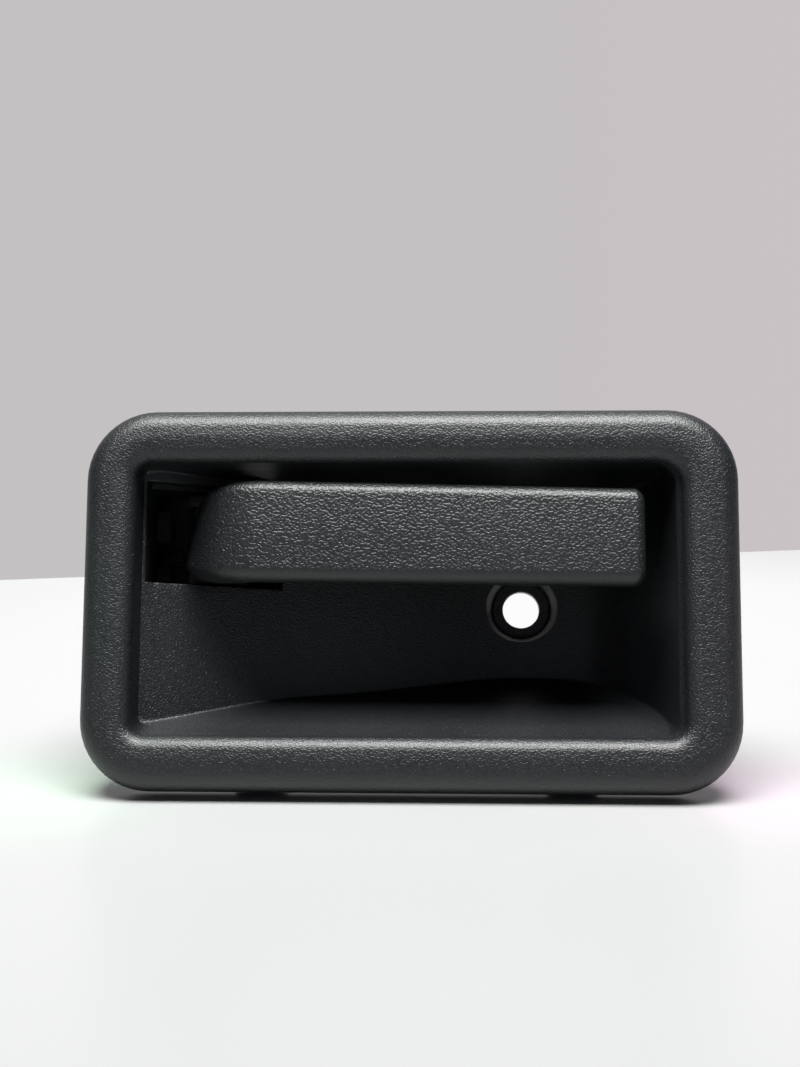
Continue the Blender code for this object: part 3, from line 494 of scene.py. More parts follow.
def grain_material(name, colour, cell, stretch, depth, roughness, fade=None):
    """Moulded leather grain: rounded pebbles with fine creases between them, and a satin skin, with painted
    shade darkening the colour in the creases.

    cell is about half the pebbles' spacing and depth their height, in metres; stretch is how
    many times longer they are along X; below the height fade, in metres, the skin is smooth.
    """
    made = bpy.data.materials.new(name)
    made.use_nodes = True
    nodes, links = made.node_tree.nodes, made.node_tree.links
    shader = nodes["Principled BSDF"]
    shader.inputs["Specular IOR Level"].default_value = 0.6
    where = nodes.new("ShaderNodeTexCoord")
    warp = nodes.new("ShaderNodeTexNoise")
    warp.inputs["Scale"].default_value = 0.55 / cell
    warp.inputs["Detail"].default_value = 2.0
    links.new(where.outputs["Object"], warp.inputs["Vector"])
    centred = nodes.new("ShaderNodeVectorMath")
    centred.operation = "SUBTRACT"
    centred.inputs[1].default_value = (0.5, 0.5, 0.5)
    links.new(warp.outputs["Color"], centred.inputs[0])
    pushed = nodes.new("ShaderNodeVectorMath")
    pushed.operation = "MULTIPLY_ADD"
    pushed.inputs[1].default_value = (cell * 0.9, cell * 0.9, cell * 0.9)
    links.new(centred.outputs[0], pushed.inputs[0])
    links.new(where.outputs["Object"], pushed.inputs[2])
    squeezed = nodes.new("ShaderNodeMapping")
    squeezed.inputs["Scale"].default_value = (1.0 / stretch, 1.0, 1.0)
    links.new(pushed.outputs[0], squeezed.inputs["Vector"])
    pebbles = nodes.new("ShaderNodeTexNoise")
    pebbles.inputs["Scale"].default_value = 1.15 / cell
    pebbles.inputs["Detail"].default_value = 0.35
    pebbles.inputs["Distortion"].default_value = 0.2
    links.new(squeezed.outputs[0], pebbles.inputs["Vector"])
    dome = nodes.new("ShaderNodeMapRange")
    dome.interpolation_type = "SMOOTHSTEP"
    dome.inputs["From Min"].default_value = 0.36
    dome.inputs["From Max"].default_value = 0.62
    links.new(pebbles.outputs["Fac"], dome.inputs["Value"])
    fine = nodes.new("ShaderNodeTexNoise")
    fine.inputs["Scale"].default_value = 2.6 / cell
    fine.inputs["Detail"].default_value = 3.0
    links.new(where.outputs["Object"], fine.inputs["Vector"])
    height = nodes.new("ShaderNodeMath")
    height.operation = "MULTIPLY_ADD"
    height.inputs[1].default_value = 0.08
    links.new(fine.outputs["Fac"], height.inputs[0])
    links.new(dome.outputs["Result"], height.inputs[2])
    bump = nodes.new("ShaderNodeBump")
    bump.inputs["Distance"].default_value = depth
    links.new(height.outputs[0], bump.inputs["Height"])
    if fade is not None:
        split = nodes.new("ShaderNodeSeparateXYZ")
        links.new(where.outputs["Object"], split.inputs[0])
        droop = nodes.new("ShaderNodeMath")
        droop.operation = "MULTIPLY_ADD"
        droop.inputs[1].default_value = GRIP_LOWER_SLOPE
        links.new(split.outputs["X"], droop.inputs[0])
        links.new(split.outputs["Z"], droop.inputs[2])
        mask = nodes.new("ShaderNodeMapRange")
        mask.inputs["From Min"].default_value = fade
        mask.inputs["From Max"].default_value = fade + 0.0007
        links.new(droop.outputs[0], mask.inputs["Value"])
        links.new(mask.outputs["Result"], bump.inputs["Strength"])
    links.new(bump.outputs["Normal"], shader.inputs["Normal"])
    tone = nodes.new("ShaderNodeTexNoise")
    tone.inputs["Scale"].default_value = 45.0
    tone.inputs["Detail"].default_value = 4.0
    links.new(where.outputs["Object"], tone.inputs["Vector"])
    wear = nodes.new("ShaderNodeMapRange")
    wear.inputs["To Min"].default_value = roughness - 0.05
    wear.inputs["To Max"].default_value = roughness + 0.06
    links.new(tone.outputs["Fac"], wear.inputs["Value"])
    links.new(wear.outputs["Result"], shader.inputs["Roughness"])
    # painted shade: the base colour is darker in the creases between the pebbles and a little paler on their
    # tops, as painted light
    painted_crease_shade = nodes.new("ShaderNodeMix")
    painted_crease_shade.data_type = "RGBA"
    painted_crease_shade.inputs["A"].default_value = (*[c * 0.55 for c in colour], 1.0)
    painted_crease_shade.inputs["B"].default_value = (*[c * 1.12 for c in colour], 1.0)
    links.new(dome.outputs["Result"], painted_crease_shade.inputs["Factor"])
    dust = nodes.new("ShaderNodeTexVoronoi")
    dust.inputs["Scale"].default_value = 420.0
    links.new(where.outputs["Object"], dust.inputs["Vector"])
    speck = nodes.new("ShaderNodeMapRange")
    speck.inputs["From Min"].default_value = 0.045
    speck.inputs["From Max"].default_value = 0.03
    links.new(dust.outputs["Distance"], speck.inputs["Value"])
    dusted = nodes.new("ShaderNodeMix")
    dusted.data_type = "RGBA"
    dusted.inputs["B"].default_value = (0.16, 0.16, 0.155, 1.0)
    links.new(speck.outputs["Result"], dusted.inputs["Factor"])
    links.new(painted_crease_shade.outputs["Result"], dusted.inputs["A"])
    links.new(dusted.outputs["Result"], shader.inputs["Base Color"])
    return made


def moulded_finish(
    name, colour, roughness, skin_scale=900.0, skin_depth=0.00001,
    metallic=0.0, stretch=(1, 1, 1), specular=0.5,
):
    """An even skin: a faint cloud in its colour and gloss, and a barely felt texture."""
    made = bpy.data.materials.new(name)
    made.use_nodes = True
    nodes, links = made.node_tree.nodes, made.node_tree.links
    shader = nodes["Principled BSDF"]
    shader.inputs["Metallic"].default_value = metallic
    shader.inputs["Specular IOR Level"].default_value = specular
    where = nodes.new("ShaderNodeTexCoord")
    cloud = nodes.new("ShaderNodeTexNoise")
    cloud.inputs["Scale"].default_value = 160.0
    cloud.inputs["Detail"].default_value = 4.0
    links.new(where.outputs["Object"], cloud.inputs["Vector"])
    gloss = nodes.new("ShaderNodeMapRange")
    gloss.inputs["To Min"].default_value = roughness - 0.08
    gloss.inputs["To Max"].default_value = roughness + 0.08
    links.new(cloud.outputs["Fac"], gloss.inputs["Value"])
    links.new(gloss.outputs["Result"], shader.inputs["Roughness"])
    tone = nodes.new("ShaderNodeMix")
    tone.data_type = "RGBA"
    tone.inputs["A"].default_value = (*[c * 0.8 for c in colour], 1.0)
    tone.inputs["B"].default_value = (*[min(c * 1.2, 1.0) for c in colour], 1.0)
    links.new(cloud.outputs["Fac"], tone.inputs["Factor"])
    links.new(tone.outputs["Result"], shader.inputs["Base Color"])
    turned_to = nodes.new("ShaderNodeMapping")
    turned_to.inputs["Scale"].default_value = stretch
    links.new(where.outputs["Object"], turned_to.inputs["Vector"])
    skin = nodes.new("ShaderNodeTexNoise")
    skin.inputs["Scale"].default_value = skin_scale
    skin.inputs["Detail"].default_value = 2.0
    links.new(turned_to.outputs["Vector"], skin.inputs["Vector"])
    bump = nodes.new("ShaderNodeBump")
    bump.inputs["Distance"].default_value = skin_depth
    links.new(skin.outputs["Fac"], bump.inputs["Height"])
    links.new(bump.outputs["Normal"], shader.inputs["Normal"])
    return made


GRIP_LOWER_SLOPE = 0.0105
GRAIN_CELL, GRAIN_DEPTH, GRAIN_ROUGHNESS = 0.00036, 0.000034, 0.43
cup.data.materials.clear()
cup.data.materials.append(grain_material(
    "black_fine_leather_grain", (0.0055, 0.0070, 0.0085), GRAIN_CELL, 1.25, GRAIN_DEPTH, GRAIN_ROUGHNESS
))
cup.data.materials.append(moulded_finish("black_moulded_rear", (0.017, 0.0185, 0.019), 0.42))
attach(cup, "housing")
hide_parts("bezel_cup")

# ---------------------------------------------------------------------------------------------
# The lever's cover: a thick moulded skin with a coarser, longer grain on its face and top and a
# smooth band along its lower edge. It clips over the carrier, which shows as a second thin edge.
# ---------------------------------------------------------------------------------------------
GRIP_RIGHT, GRIP_FRONT, GRIP_THICKNESS = 43.0, -7.0, 8.0
BEND_CENTRE, BEND_RADIUS, BEND_ANGLE = (-27.4, 8.0), 15.0, 80.0
COVER_THICKNESS, JOINT_GAP = 3.2, 0.3
END_ROUNDING = 2.1
STRAIGHT_FROM = -27.0
MIDDLE_Z, MIDDLE_SLOPE, HALF_HEIGHT, HALF_SLOPE = 12.6, 0.017, 9.45, 0.0065


def grip_station(x, turn):
    """The bar's middle line, the way out of it, its middle height, half height and share of the bend."""
    centre = BEND_RADIUS - GRIP_THICKNESS / 2
    if turn is None:
        along = x - STRAIGHT_FROM
        middle, half = MIDDLE_Z - MIDDLE_SLOPE * along, HALF_HEIGHT - HALF_SLOPE * along
        return (x, GRIP_FRONT + GRIP_THICKNESS / 2), (0.0, -1.0), middle, half, 0.0
    angle = math.radians(turn)
    out = (-math.sin(angle), -math.cos(angle))
    spine = (BEND_CENTRE[0] + out[0] * centre, BEND_CENTRE[1] + out[1] * centre)
    share = turn / BEND_ANGLE
    low = MIDDLE_Z - HALF_HEIGHT + 2.2 * share ** 3
    high = MIDDLE_Z + HALF_HEIGHT - 0.3 * share - 2.45 * share ** 3
    return spine, out, (low + high) / 2, (high - low) / 2, share


def bar_section(front, back, half, radii, steps=8):
    """A rounded section: distances out of the middle line against heights about the middle."""
    corners = (
        (front, half, radii[0], 0.0), (back, half, radii[1], 90.0),
        (back, -half, radii[2], 180.0), (front, -half, radii[3], 270.0),
    )
    points = []
    for out, height, radius, start in corners:
        co = out - math.copysign(radius, out - (front + back) / 2)
        ch = height - math.copysign(radius, height)
        for angle in np.radians(np.linspace(start, start + 90.0, steps + 1)):
            points.append((co + radius * math.cos(angle), ch + radius * math.sin(angle)))
    return points


def bar(name, front, back, radii, inset, bend_steps):
    """A strip of the grip between two distances from its middle line, with a rounded free end."""
    stations = []
    for angle in np.radians(np.linspace(0.0, 90.0, 9)):
        shrink = END_ROUNDING * (1 - math.sin(angle))
        stations.append((GRIP_RIGHT - END_ROUNDING * (1 - math.cos(angle)), None, shrink))
    for x in np.linspace(GRIP_RIGHT - END_ROUNDING, BEND_CENTRE[0], 30)[1:]:
        stations.append((float(x), None, 0.0))
    for turn in np.linspace(0.0, BEND_ANGLE, bend_steps + 1)[1:]:
        stations.append((None, float(turn), 0.0))
    rings = []
    for x, turn, shrink in stations:
        spine, out, height, half, share = grip_station(x, turn)
        tight = [max(r - 0.4 * shrink, 0.12) for r in radii]
        points = []
        for u, v in bar_section(front - shrink, back + 0.25 * shrink, half - inset - shrink, tight):
            z = height + v
            lean = -0.2 * (12.0 - z) * share * share * (u / GRIP_THICKNESS + 0.5)
            points.append((spine[0] + out[0] * u + lean, spine[1] + out[1] * u, z))
        rings.append(np.array(points))
    return loft(name, rings)


half_grip = GRIP_THICKNESS / 2
cover = bar("lever_cover_skin", half_grip, half_grip - COVER_THICKNESS, (2.5, 0.2, 0.3, 2.7), 0.0, 36)
shade(cover, 40.0)
COVER_GRAIN_CELL, COVER_GRAIN_DEPTH, SMOOTH_BELOW = 0.00050, 0.000056, 0.0048
# painted light: the cover's black is a little lighter than the frame's, standing in for the brighter light
# its face catches
cover.data.materials.append(grain_material(
    "black_long_leather_grain", (0.0068, 0.0088, 0.0098), COVER_GRAIN_CELL, 1.3, COVER_GRAIN_DEPTH,
    GRAIN_ROUGHNESS, SMOOTH_BELOW,
))
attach(cover, "lever")
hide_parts("lever_cover")

# ---------------------------------------------------------------------------------------------
# The lever's carrier: the glass-filled rear half of the bar that takes the pull, satin black and
# ungrained, with two blind bores in its rear face for the screws of the cast root.
# ---------------------------------------------------------------------------------------------
ROOT_SCREW_X, ROOT_SCREW_Z = -20.0, (8.8, 14.6)
behind_cover = half_grip - COVER_THICKNESS - JOINT_GAP
carrier = bar("lever_carrier_bar", behind_cover, -half_grip, (0.2, 2.0, 2.0, 0.2), 0.35, 0)
blind_bore = [(-2.6, 1.7), (0.7, 1.7), (1.3, 2.3)]
for z in ROOT_SCREW_Z:
    combine(carrier, turned("bore", "Y", (ROOT_SCREW_X, z), blind_bore, 40), "DIFFERENCE")
shade(carrier, 40.0)
carrier.data.materials.clear()
carrier.data.materials.append(
    moulded_finish("black_glass_filled", (0.020, 0.0215, 0.022), 0.45, 1500.0, 0.00002)
)
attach(carrier, "lever")
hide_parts("lever_carrier")

# ---------------------------------------------------------------------------------------------
# The lever's root: a die casting in zinc, black coated, that fills the bend behind the cover, is
# screwed to the carrier and goes through the slot to two knuckles on the pin.
# ---------------------------------------------------------------------------------------------
KNUCKLES = ((4.2, 8.0), (15.0, 18.6))
SPRING_POCKET = (8.3, 14.7)
CRANK_SCREWS = ((-41.3, 9.6), (-35.7, 9.6))
STRAP_THICKNESS, BARREL_RADIUS = 1.8, 5.5
strip_outer = BEND_RADIUS - GRIP_THICKNESS - JOINT_GAP
strip_inner = strip_outer - STRAP_THICKNESS
elbow = BEND_RADIUS - COVER_THICKNESS - JOINT_GAP
bend_x, bend_y = BEND_CENTRE
outline = [(-41.6, 6.5), (-43.5, 9.0), (-43.5, 15.0), (-33.5, 15.0), (-32.0, 10.5)]
for angle in np.radians(np.linspace(80.0, 0.0, 25)):
    outline.append((bend_x - strip_inner * math.sin(angle), bend_y - strip_inner * math.cos(angle)))
STRAP_END = -16.5
outline += [(STRAP_END, bend_y - strip_inner), (STRAP_END, bend_y - strip_outer)]
outline.append((bend_x - 0.3, bend_y - strip_outer))
for turn in np.linspace(1.5, 77.0, 33):
    radius, angle = elbow - 0.9 * (turn / BEND_ANGLE) ** 2, math.radians(turn)
    outline.append((bend_x - radius * math.sin(angle), bend_y - radius * math.cos(angle)))
outline.append((-38.4, 6.55))
root = prism("lever_root_casting", outline, "Z", KNUCKLES[0][0], KNUCKLES[1][1])
combine(root, block("band_low", (-46.0, -10.0), (-6.0, 8.2), (3.0, 6.0), 0.3, 0), "DIFFERENCE")
combine(root, block("band_high", (-33.0, -10.0), (-6.0, 8.2), (17.0, 23.0), 0.3, 0), "DIFFERENCE")
barrel = [(KNUCKLES[0][0] + 0.02, BARREL_RADIUS - 0.3), (KNUCKLES[0][0] + 0.32, BARREL_RADIUS),
          (KNUCKLES[1][1] - 0.32, BARREL_RADIUS), (KNUCKLES[1][1] - 0.02, BARREL_RADIUS - 0.3)]
combine(root, turned("barrel", "Z", (PIVOT_X, PIVOT_Y), barrel, 56), "UNION")
combine(root, block("rest_tab", (-49.3, -42.0), (12.7, 15.4), (4.25, 7.95), 0.35, 0), "UNION")
combine(root, turned("pocket", "Z", (PIVOT_X, PIVOT_Y), [(z, 5.4) for z in SPRING_POCKET], 56), "DIFFERENCE")
combine(root, block("pocket_back", (-46.0, -33.0), (PIVOT_Y, 22.0), SPRING_POCKET, 0.1, 0), "DIFFERENCE")
combine(root, block("leg_slot", (-35.6, -34.0), (8.1, 15.5), (13.3, 14.75), 0.1, 0), "DIFFERENCE")
combine(root, turned("bore", "Z", (PIVOT_X, PIVOT_Y), [(3.0, 3.3), (20.0, 3.3)], 48), "DIFFERENCE")
for x, y in CRANK_SCREWS:
    combine(root, turned("tapped", "Z", (x, y), [(15.3, 1.7), (20.0, 1.7)], 32), "DIFFERENCE")
for z in ROOT_SCREW_Z:
    combine(root, turned("clear", "Y", (ROOT_SCREW_X, z), [(0.0, 1.7), (6.0, 1.7)], 32), "DIFFERENCE")
shade(root)
root.data.materials.clear()
root.data.materials.append(
    moulded_finish("black_coated_casting", (0.009, 0.0092, 0.0095), 0.5, 2200.0, 0.00003, specular=0.3)
)
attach(root, "lever")
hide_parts("lever_root")

# ---------------------------------------------------------------------------------------------
# Screws: two pan heads hold the root to the carrier, two countersunk ones the crank to the root.
# Both are thread-forming steel screws with a cross recess, dark phosphated.
# ---------------------------------------------------------------------------------------------
def node_tree(name, inputs):
    """A geometry node tree with named inputs: the tree, its two ends and its input sockets."""
    tree = bpy.data.node_groups.new(name, "GeometryNodeTree")
    tree.interface.new_socket("Geometry", in_out="INPUT", socket_type="NodeSocketGeometry")
    sockets = {}
    for label, kind in inputs:
        sockets[label] = tree.interface.new_socket(label, in_out="INPUT", socket_type=kind).identifier
    tree.interface.new_socket("Geometry", in_out="OUTPUT", socket_type="NodeSocketGeometry")
    return tree, tree.nodes.new("NodeGroupInput"), tree.nodes.new("NodeGroupOutput"), sockets


def settle(made, tree, values):
    """Runs the tree on an object and keeps the result as its plain mesh."""
    modifier = made.modifiers.new("build", "NODES")
    modifier.node_group = tree
    for identifier, value in values.items():
        modifier[identifier] = value
    graph = bpy.context.evaluated_depsgraph_get()
    mesh = bpy.data.meshes.new_from_object(made.evaluated_get(graph))
    made.modifiers.clear()
    made.data = mesh


copies_tree, copies_in, copies_out, COPIES = node_tree("copies_at_points", [
    ("Part", "NodeSocketObject"), ("Turn", "NodeSocketVector"), ("Finish", "NodeSocketMaterial"),
])
nodes, links = copies_tree.nodes, copies_tree.links
part_info = nodes.new("GeometryNodeObjectInfo")
to_turn = nodes.new("FunctionNodeEulerToRotation")
on_points = nodes.new("GeometryNodeInstanceOnPoints")
realize = nodes.new("GeometryNodeRealizeInstances")
give_finish = nodes.new("GeometryNodeSetMaterial")
links.new(copies_in.outputs["Part"], part_info.inputs["Object"])
links.new(copies_in.outputs["Turn"], to_turn.inputs[0])
links.new(copies_in.outputs["Geometry"], on_points.inputs["Points"])
links.new(part_info.outputs["Geometry"], on_points.inputs["Instance"])
links.new(to_turn.outputs[0], on_points.inputs["Rotation"])
links.new(on_points.outputs["Instances"], realize.inputs["Geometry"])
links.new(realize.outputs["Geometry"], give_finish.inputs["Geometry"])
links.new(copies_in.outputs["Finish"], give_finish.inputs["Material"])
links.new(give_finish.outputs["Geometry"], copies_out.inputs["Geometry"])


def copies(name, part, places, turn, finish, keep_part=False):
    """One mesh of copies of a part, at places in millimetres, all turned alike by degrees."""
    made = mesh_from(name, places, [])
    settle(made, copies_tree, {
        COPIES["Part"]: part, COPIES["Turn"]: [math.radians(a) for a in turn], COPIES["Finish"]: finish,
    })
    if not keep_part:
        bpy.data.objects.remove(part, do_unlink=True)
    shade(made)
    return made


def screw(name, profile, recess_floor):
    """A screw standing on Z with its head up, from its turned profile, with a cross recess."""
    made = turned(name, "Z", (0.0, 0.0), profile, 40)
    recess_z = (recess_floor, profile[-1][0] + 1.0)
    for x, y in ((1.25, 0.28), (0.28, 1.25)):
        combine(made, block("recess", (-x, x), (-y, y), recess_z, 0.12, 0), "DIFFERENCE")
    return made


def thread(low, high, core, crest, pitch=0.5):
    """The turned profile of a threaded shank."""
    points = []
    for z in np.arange(low, high - pitch, pitch):
        points += [(float(z), core), (float(z) + pitch * 0.5, crest)]
    return points


screw_steel = moulded_finish("phosphated_screw_steel", (0.075, 0.075, 0.08), 0.42, 1800.0, 0.00001, 0.9)
THREAD_CORE, THREAD_CREST = 1.15, 1.4
pan_head = [(3.4, 1.4), (3.4, 2.6), (3.5, 2.7), (4.3, 2.65), (4.7, 2.45), (5.0, 2.05), (5.2, 1.5)]
pan_profile = [(-2.2, 0.9)] + thread(-1.9, 3.0, THREAD_CORE, THREAD_CREST) + pan_head
pan_screw = screw("pan_screw", pan_profile, 4.25)
places = [(ROOT_SCREW_X, 0.0, z) for z in ROOT_SCREW_Z]
root_screws = copies("root_screws", pan_screw, places, (-90.0, 0.0, 0.0), screw_steel)
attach(root_screws, "lever")
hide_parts("root_screw_1", "root_screw_2")

sunk_head = [(-0.5, 1.4), (0.6, 2.5), (0.8, 2.5), (0.85, 2.4)]
sunk_profile = [(-4.4, 0.9)] + thread(-4.1, -0.6, THREAD_CORE, THREAD_CREST) + sunk_head
sunk_screw = screw("sunk_screw", sunk_profile, -0.1)
places = [(x, y, 20.0) for x, y in CRANK_SCREWS]
crank_screws = copies("crank_screws", sunk_screw, places, (0.0, 0.0, 0.0), screw_steel)
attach(crank_screws, "lever")
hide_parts("crank_screw_1", "crank_screw_2")

# ---------------------------------------------------------------------------------------------
# The hinge: a headed steel pin, zinc plated, with an open clip in its groove; two acetal bushes
# pressed in the root's knuckles and two acetal washers between the knuckles and the box.
# ---------------------------------------------------------------------------------------------
pin_profile = [
    (-3.2, 1.6), (-2.9, 1.95), (-2.85, 2.0), (-2.2, 2.0), (-2.15, 1.5), (-1.05, 1.5), (-1.0, 2.0),
    (27.25, 2.0), (27.3, 3.25), (27.45, 3.4), (28.1, 3.4), (28.45, 3.2), (28.6, 2.7),
]
pin = turned("hinge_pin", "Z", (PIVOT_X, PIVOT_Y), pin_profile, 64)
shade(pin)
pin.data.materials.append(
    moulded_finish("bright_zinc_plate", (0.56, 0.55, 0.51), 0.3, 500.0, 0.000006, 1.0, (1, 1, 12))
)
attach(pin, "housing")
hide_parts("pivot_pin")

CLIP_OUTER, CLIP_GRIP, CLIP_RELIEF = 3.7, 1.8, 2.5
outline = []
for angle in np.radians(np.linspace(-60.0, 240.0, 61)):
    outline.append((PIVOT_X + CLIP_OUTER * math.cos(angle), PIVOT_Y + CLIP_OUTER * math.sin(angle)))
for angle in np.linspace(240.0, -60.0, 61):
    grips = min(abs(angle - a) for a in (-60.0, 90.0, 240.0)) < 27.0
    radius = CLIP_GRIP if grips else CLIP_RELIEF
    spot = math.radians(angle)
    outline.append((PIVOT_X + radius * math.cos(spot), PIVOT_Y + radius * math.sin(spot)))
retainer = prism("pin_retainer", outline, "Z", -1.9, -1.3)
soften(retainer, 0.06, 1)
shade(retainer)
retainer.data.materials.append(
    moulded_finish("phosphated_clip_steel", (0.085, 0.085, 0.09), 0.4, 1500.0, 0.00001, 0.9)
)
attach(retainer, "housing")
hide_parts("pin_clip")


def hoop(name, rings):
    """A closed band through rings, its last joined to its first."""
    count = len(rings[0])
    faces = []
    for r in range(len(rings)):
        after = (r + 1) % len(rings)
        for i in range(count):
            j = (i + 1) % count
            faces.append((r * count + i, r * count + j, after * count + j, after * count + i))
    return mesh_from(name, [p for one in rings for p in one], faces)


def sleeve(name, inner, outer, low, high, round_by):
    """A closed ring about the hinge with rounded edges."""
    section = [
        (inner, low + round_by), (inner + round_by, low),
        (outer - round_by, low), (outer, low + round_by),
        (outer, high - round_by), (outer - round_by, high),
        (inner + round_by, high), (inner, high - round_by),
    ]
    spots = np.linspace(0.0, 2 * math.pi, 56, endpoint=False)
    rings = []
    for radius, z in section:
        rings.append([(PIVOT_X + radius * math.cos(a), PIVOT_Y + radius * math.sin(a), z) for a in spots])
    return hoop(name, rings)


acetal = moulded_finish("black_acetal_skin", (0.012, 0.0125, 0.013), 0.36, 1200.0, 0.000006, specular=0.35)
for name, body, outer, z, round_by in (
    ("lower_bush", "lever", 3.0, KNUCKLES[0], 0.15), ("upper_bush", "lever", 3.0, KNUCKLES[1], 0.15),
    ("lower_washer", "housing", 4.6, (3.3, 3.9), 0.1), ("upper_washer", "housing", 4.6, (21.2, 21.8), 0.1),
):
    made = sleeve(name + "_ring", PIN_BORE, outer, z[0], z[1], round_by)
    shade(made)
    made.data.materials.append(acetal)
    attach(made, body)
    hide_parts(name)

# ---------------------------------------------------------------------------------------------
# The return spring: four and a quarter turns of dark 1 mm spring wire round the pin. One leg
# bears on the box, the other lies in the root's slot, so it winds up as the lever is pulled.
# ---------------------------------------------------------------------------------------------
SPRING_RADIUS, SPRING_WIRE, SPRING_TURNS = 4.2, 0.5, 4.25
SPRING_LOW, SPRING_HIGH = 8.9, 14.1
path = [(x, PIVOT_Y + SPRING_RADIUS, SPRING_LOW) for x in (-48.6, -43.5, -40.5)]
steps = int(SPRING_TURNS * 48)
for i in range(steps + 1):
    angle = math.radians(90.0) - 2 * math.pi * SPRING_TURNS * i / steps
    z = SPRING_LOW + (SPRING_HIGH - SPRING_LOW) * i / steps
    path.append((PIVOT_X + SPRING_RADIUS * math.cos(angle), PIVOT_Y + SPRING_RADIUS * math.sin(angle), z))
path += [(PIVOT_X + SPRING_RADIUS, y, SPRING_HIGH) for y in (11.5, 8.5)]
wire_mesh = bpy.data.meshes.new("wire_path")
path_edges = [(i, i + 1) for i in range(len(path) - 1)]
wire_mesh.from_pydata([tuple(c * MM for c in p) for p in path], path_edges, [])
spring = bpy.data.objects.new("hinge_spring", wire_mesh)
bpy.context.scene.collection.objects.link(spring)
wire_tree, wire_in, wire_out, WIRE = node_tree("wire_along_path", [
    ("Wire radius", "NodeSocketFloat"), ("Finish", "NodeSocketMaterial"),
])
nodes, links = wire_tree.nodes, wire_tree.links
to_curve = nodes.new("GeometryNodeMeshToCurve")
section = nodes.new("GeometryNodeCurvePrimitiveCircle")
section.inputs["Resolution"].default_value = 12
sweep = nodes.new("GeometryNodeCurveToMesh")
sweep.inputs["Fill Caps"].default_value = True
realize = nodes.new("GeometryNodeRealizeInstances")
give_finish = nodes.new("GeometryNodeSetMaterial")
links.new(wire_in.outputs["Geometry"], to_curve.inputs["Mesh"])
links.new(wire_in.outputs["Wire radius"], section.inputs["Radius"])
links.new(to_curve.outputs["Curve"], sweep.inputs["Curve"])
links.new(section.outputs["Curve"], sweep.inputs["Profile Curve"])
links.new(sweep.outputs["Mesh"], realize.inputs["Geometry"])
links.new(realize.outputs["Geometry"], give_finish.inputs["Geometry"])
links.new(wire_in.outputs["Finish"], give_finish.inputs["Material"])
links.new(give_finish.outputs["Geometry"], wire_out.inputs["Geometry"])
spring_steel = moulded_finish("dark_spring_wire", (0.095, 0.09, 0.085), 0.36, 1400.0, 0.000008, 0.95)
settle(spring, wire_tree, {WIRE["Wire radius"]: SPRING_WIRE * MM, WIRE["Finish"]: spring_steel})
shade(spring, 50.0)
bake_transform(spring)
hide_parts("return_spring")

# ---------------------------------------------------------------------------------------------
# The crank: blanked from 2 mm steel, black coated, screwed on top of the root. It comes out of
# the box through its window and carries the lock rod's clip.
# ---------------------------------------------------------------------------------------------
ROD_HOLE_Y, CRANK_END_RADIUS = 30.0, 4.5
outline = [(-43.6, 7.2), (-43.3, 6.7), (-42.6, 6.4), (-34.4, 6.4), (-33.7, 6.7), (-33.4, 7.2), (-33.4, 14.0),
           (-33.7, 17.2), (-34.6, 20.0)]
for angle in np.radians(np.linspace(-8.0, 188.0, 40)):
    across, beyond = CRANK_END_RADIUS * math.cos(angle), CRANK_END_RADIUS * math.sin(angle)
    outline.append((PIVOT_X + across, ROD_HOLE_Y + beyond))
outline += [(-43.4, 20.0), (-43.8, 17.2), (-44.0, 14.0)]
crank = prism("crank_plate", outline, "Z", *CRANK_Z)
soften(crank, 0.15, 2)
pin_hole = [(18.0, PIN_BORE), (22.0, PIN_BORE)]
combine(crank, turned("pin_hole", "Z", (PIVOT_X, PIVOT_Y), pin_hole, 48), "DIFFERENCE")
combine(crank, turned("clip_hole", "Z", (PIVOT_X, ROD_HOLE_Y), [(18.0, 2.5), (22.0, 2.5)], 48), "DIFFERENCE")
sink = [(18.0, 1.8), (19.6, 1.8), (20.7, 2.9), (22.0, 2.9)]
for x, y in CRANK_SCREWS:
    combine(crank, turned("sink", "Z", (x, y), sink, 40), "DIFFERENCE")
shade(crank)
crank.data.materials.clear()
crank.data.materials.append(
    moulded_finish("black_coated_plate", (0.008, 0.008, 0.0085), 0.5, 1600.0, 0.00001, specular=0.3)
)
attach(crank, "lever")
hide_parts("crank_arm")

# ---------------------------------------------------------------------------------------------
# The rod clip: moulded in green acetal. Its split peg snaps into the crank's hole, the lock rod
# stands in its bore, and the open jaw on its arm closes over the rod.
# ---------------------------------------------------------------------------------------------
peg = [(16.6, 2.0), (16.7, 2.1), (17.4, 2.9), (18.4, 2.9), (18.6, 2.2), (21.2, 2.2), (21.3, 3.7), (21.5, 3.9),
       (22.4, 3.9), (22.6, 3.7)]
clip = turned("lock_rod_clip", "Z", (PIVOT_X, ROD_HOLE_Y), peg, 48)
arm_x, arm_y = (PIVOT_X - 11.0, PIVOT_X - 1.0), (ROD_HOLE_Y - 2.4, ROD_HOLE_Y + 2.4)
combine(clip, block("arm", arm_x, arm_y, (21.25, 22.55), 0.3, 0), "UNION")
JAW_Z, JAW_OUTER, JAW_INNER = 25.0, 3.0, 1.5
jaw = []
for radius, first, last in ((JAW_OUTER, -230.0, 50.0), (JAW_INNER, 50.0, -230.0)):
    for angle in np.radians(np.linspace(first, last, 33)):
        jaw.append((ROD_HOLE_Y + radius * math.cos(angle), JAW_Z + radius * math.sin(angle)))
combine(clip, soften(prism("jaw", jaw, "X", PIVOT_X - 10.9, PIVOT_X - 6.9), 0.2, 2), "UNION")
combine(clip, turned("rod_bore", "Z", (PIVOT_X, ROD_HOLE_Y), [(16.0, 1.3), (24.0, 1.3)], 40), "DIFFERENCE")
shade(clip)
clip.data.materials.clear()
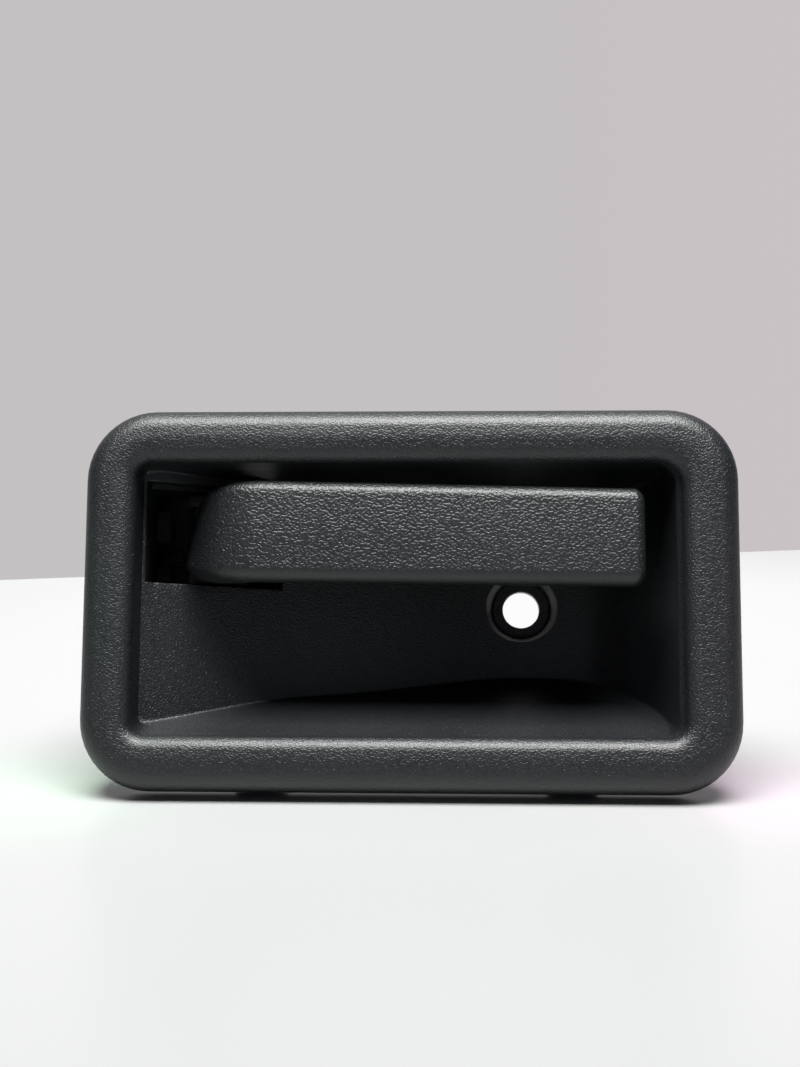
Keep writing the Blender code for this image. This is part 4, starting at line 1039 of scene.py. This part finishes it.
clip.data.materials.append(moulded_finish("green_acetal_skin", (0.07, 0.25, 0.11), 0.4, 1000.0, 0.000008))
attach(clip, "rod_clip")
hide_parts("rod_clip")

# ---------------------------------------------------------------------------------------------
# The two stops: soft black rubber blocks bonded in the pivot box, for the lever at rest and
# at full pull.
# ---------------------------------------------------------------------------------------------
rubber = moulded_finish("black_stop_rubber", (0.007, 0.007, 0.0075), 0.78, 1300.0, 0.00004, specular=0.2)
for name, x, y, z in (
    ("rest_buffer", (-49.9, -46.6), (9.5, 12.4), (4.5, 7.8)),
    ("stop_buffer", (-49.9, -46.7), (9.0, 13.5), (12.4, 18.4)),
):
    outline = [(x[0], y[0]), (x[1], y[0]), (x[1], y[1]), (x[0], y[1])]
    made = soften(prism(name + "_rubber", outline, "Z", *z), 0.6, 4)
    shade(made)
    made.data.materials.append(rubber)
    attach(made, "housing")
    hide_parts(name)

# ---------------------------------------------------------------------------------------------
# The panel clips: strips of spring steel folded over the four tongues, dark phosphated, each
# with a barb that snaps behind the door panel.
# ---------------------------------------------------------------------------------------------
outer_side = [
    (11.0, 31.9), (6.6, 31.9), (6.2, 32.2), (5.8, 32.9), (5.4, 33.35), (5.0, 33.5), (2.8, 32.75),
    (2.6, 32.6), (2.6, 31.9), (3.0, 31.5), (3.0, 28.9), (3.4, 28.5), (11.0, 28.5),
]
inner_side = [(11.0, 29.1), (3.85, 29.1), (3.6, 29.35), (3.6, 31.05), (3.85, 31.3), (11.0, 31.3)]
CLIP_PLACES = [(-28.0, 0.0, 0.0), (30.0, 0.0, 0.0)]
strip = soften(prism("strip", outer_side + inner_side, "X", -4.5, 4.5), 0.08, 1)
clip_steel = moulded_finish(
    "phosphated_strip_steel", (0.08, 0.08, 0.086), 0.4, 700.0, 0.00001, 0.9, (1, 10, 10)
)
for name, turn, nodes_replaced, keep in (
    ("upper_panel_clips", 0.0, ("panel_clip_1", "panel_clip_2"), True),
    ("lower_panel_clips", 180.0, ("panel_clip_3", "panel_clip_4"), False),
):
    made = copies(name, strip, CLIP_PLACES, (0.0, turn, 0.0), clip_steel, keep)
    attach(made, "housing")
    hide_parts(*nodes_replaced)

# ---------------------------------------------------------------------------------------------
# The gasket: a die-cut ring of soft black foam in the frame's rear channel, standing a little
# proud of the lip so that it is pressed against the door panel.
# ---------------------------------------------------------------------------------------------
rings = []
for y, ring_of, reach in (
    (-5.6, frame_ring, 2.9), (0.3, frame_ring, 2.9), (0.65, frame_ring, 3.05), (0.8, frame_ring, 3.4),
    (0.8, opening_ring, 3.4), (0.65, opening_ring, 3.05), (0.3, opening_ring, 2.9), (-5.6, opening_ring, 2.9),
):
    rings.append(ring_of(reach, y))
foam_ring = hoop("foam_gasket", rings)
shade(foam_ring, 50.0)
foam_ring.data.materials.append(
    moulded_finish("open_black_foam", (0.014, 0.014, 0.015), 0.9, 2600.0, 0.00018)
)
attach(foam_ring, "housing")
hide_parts("bezel_gasket")
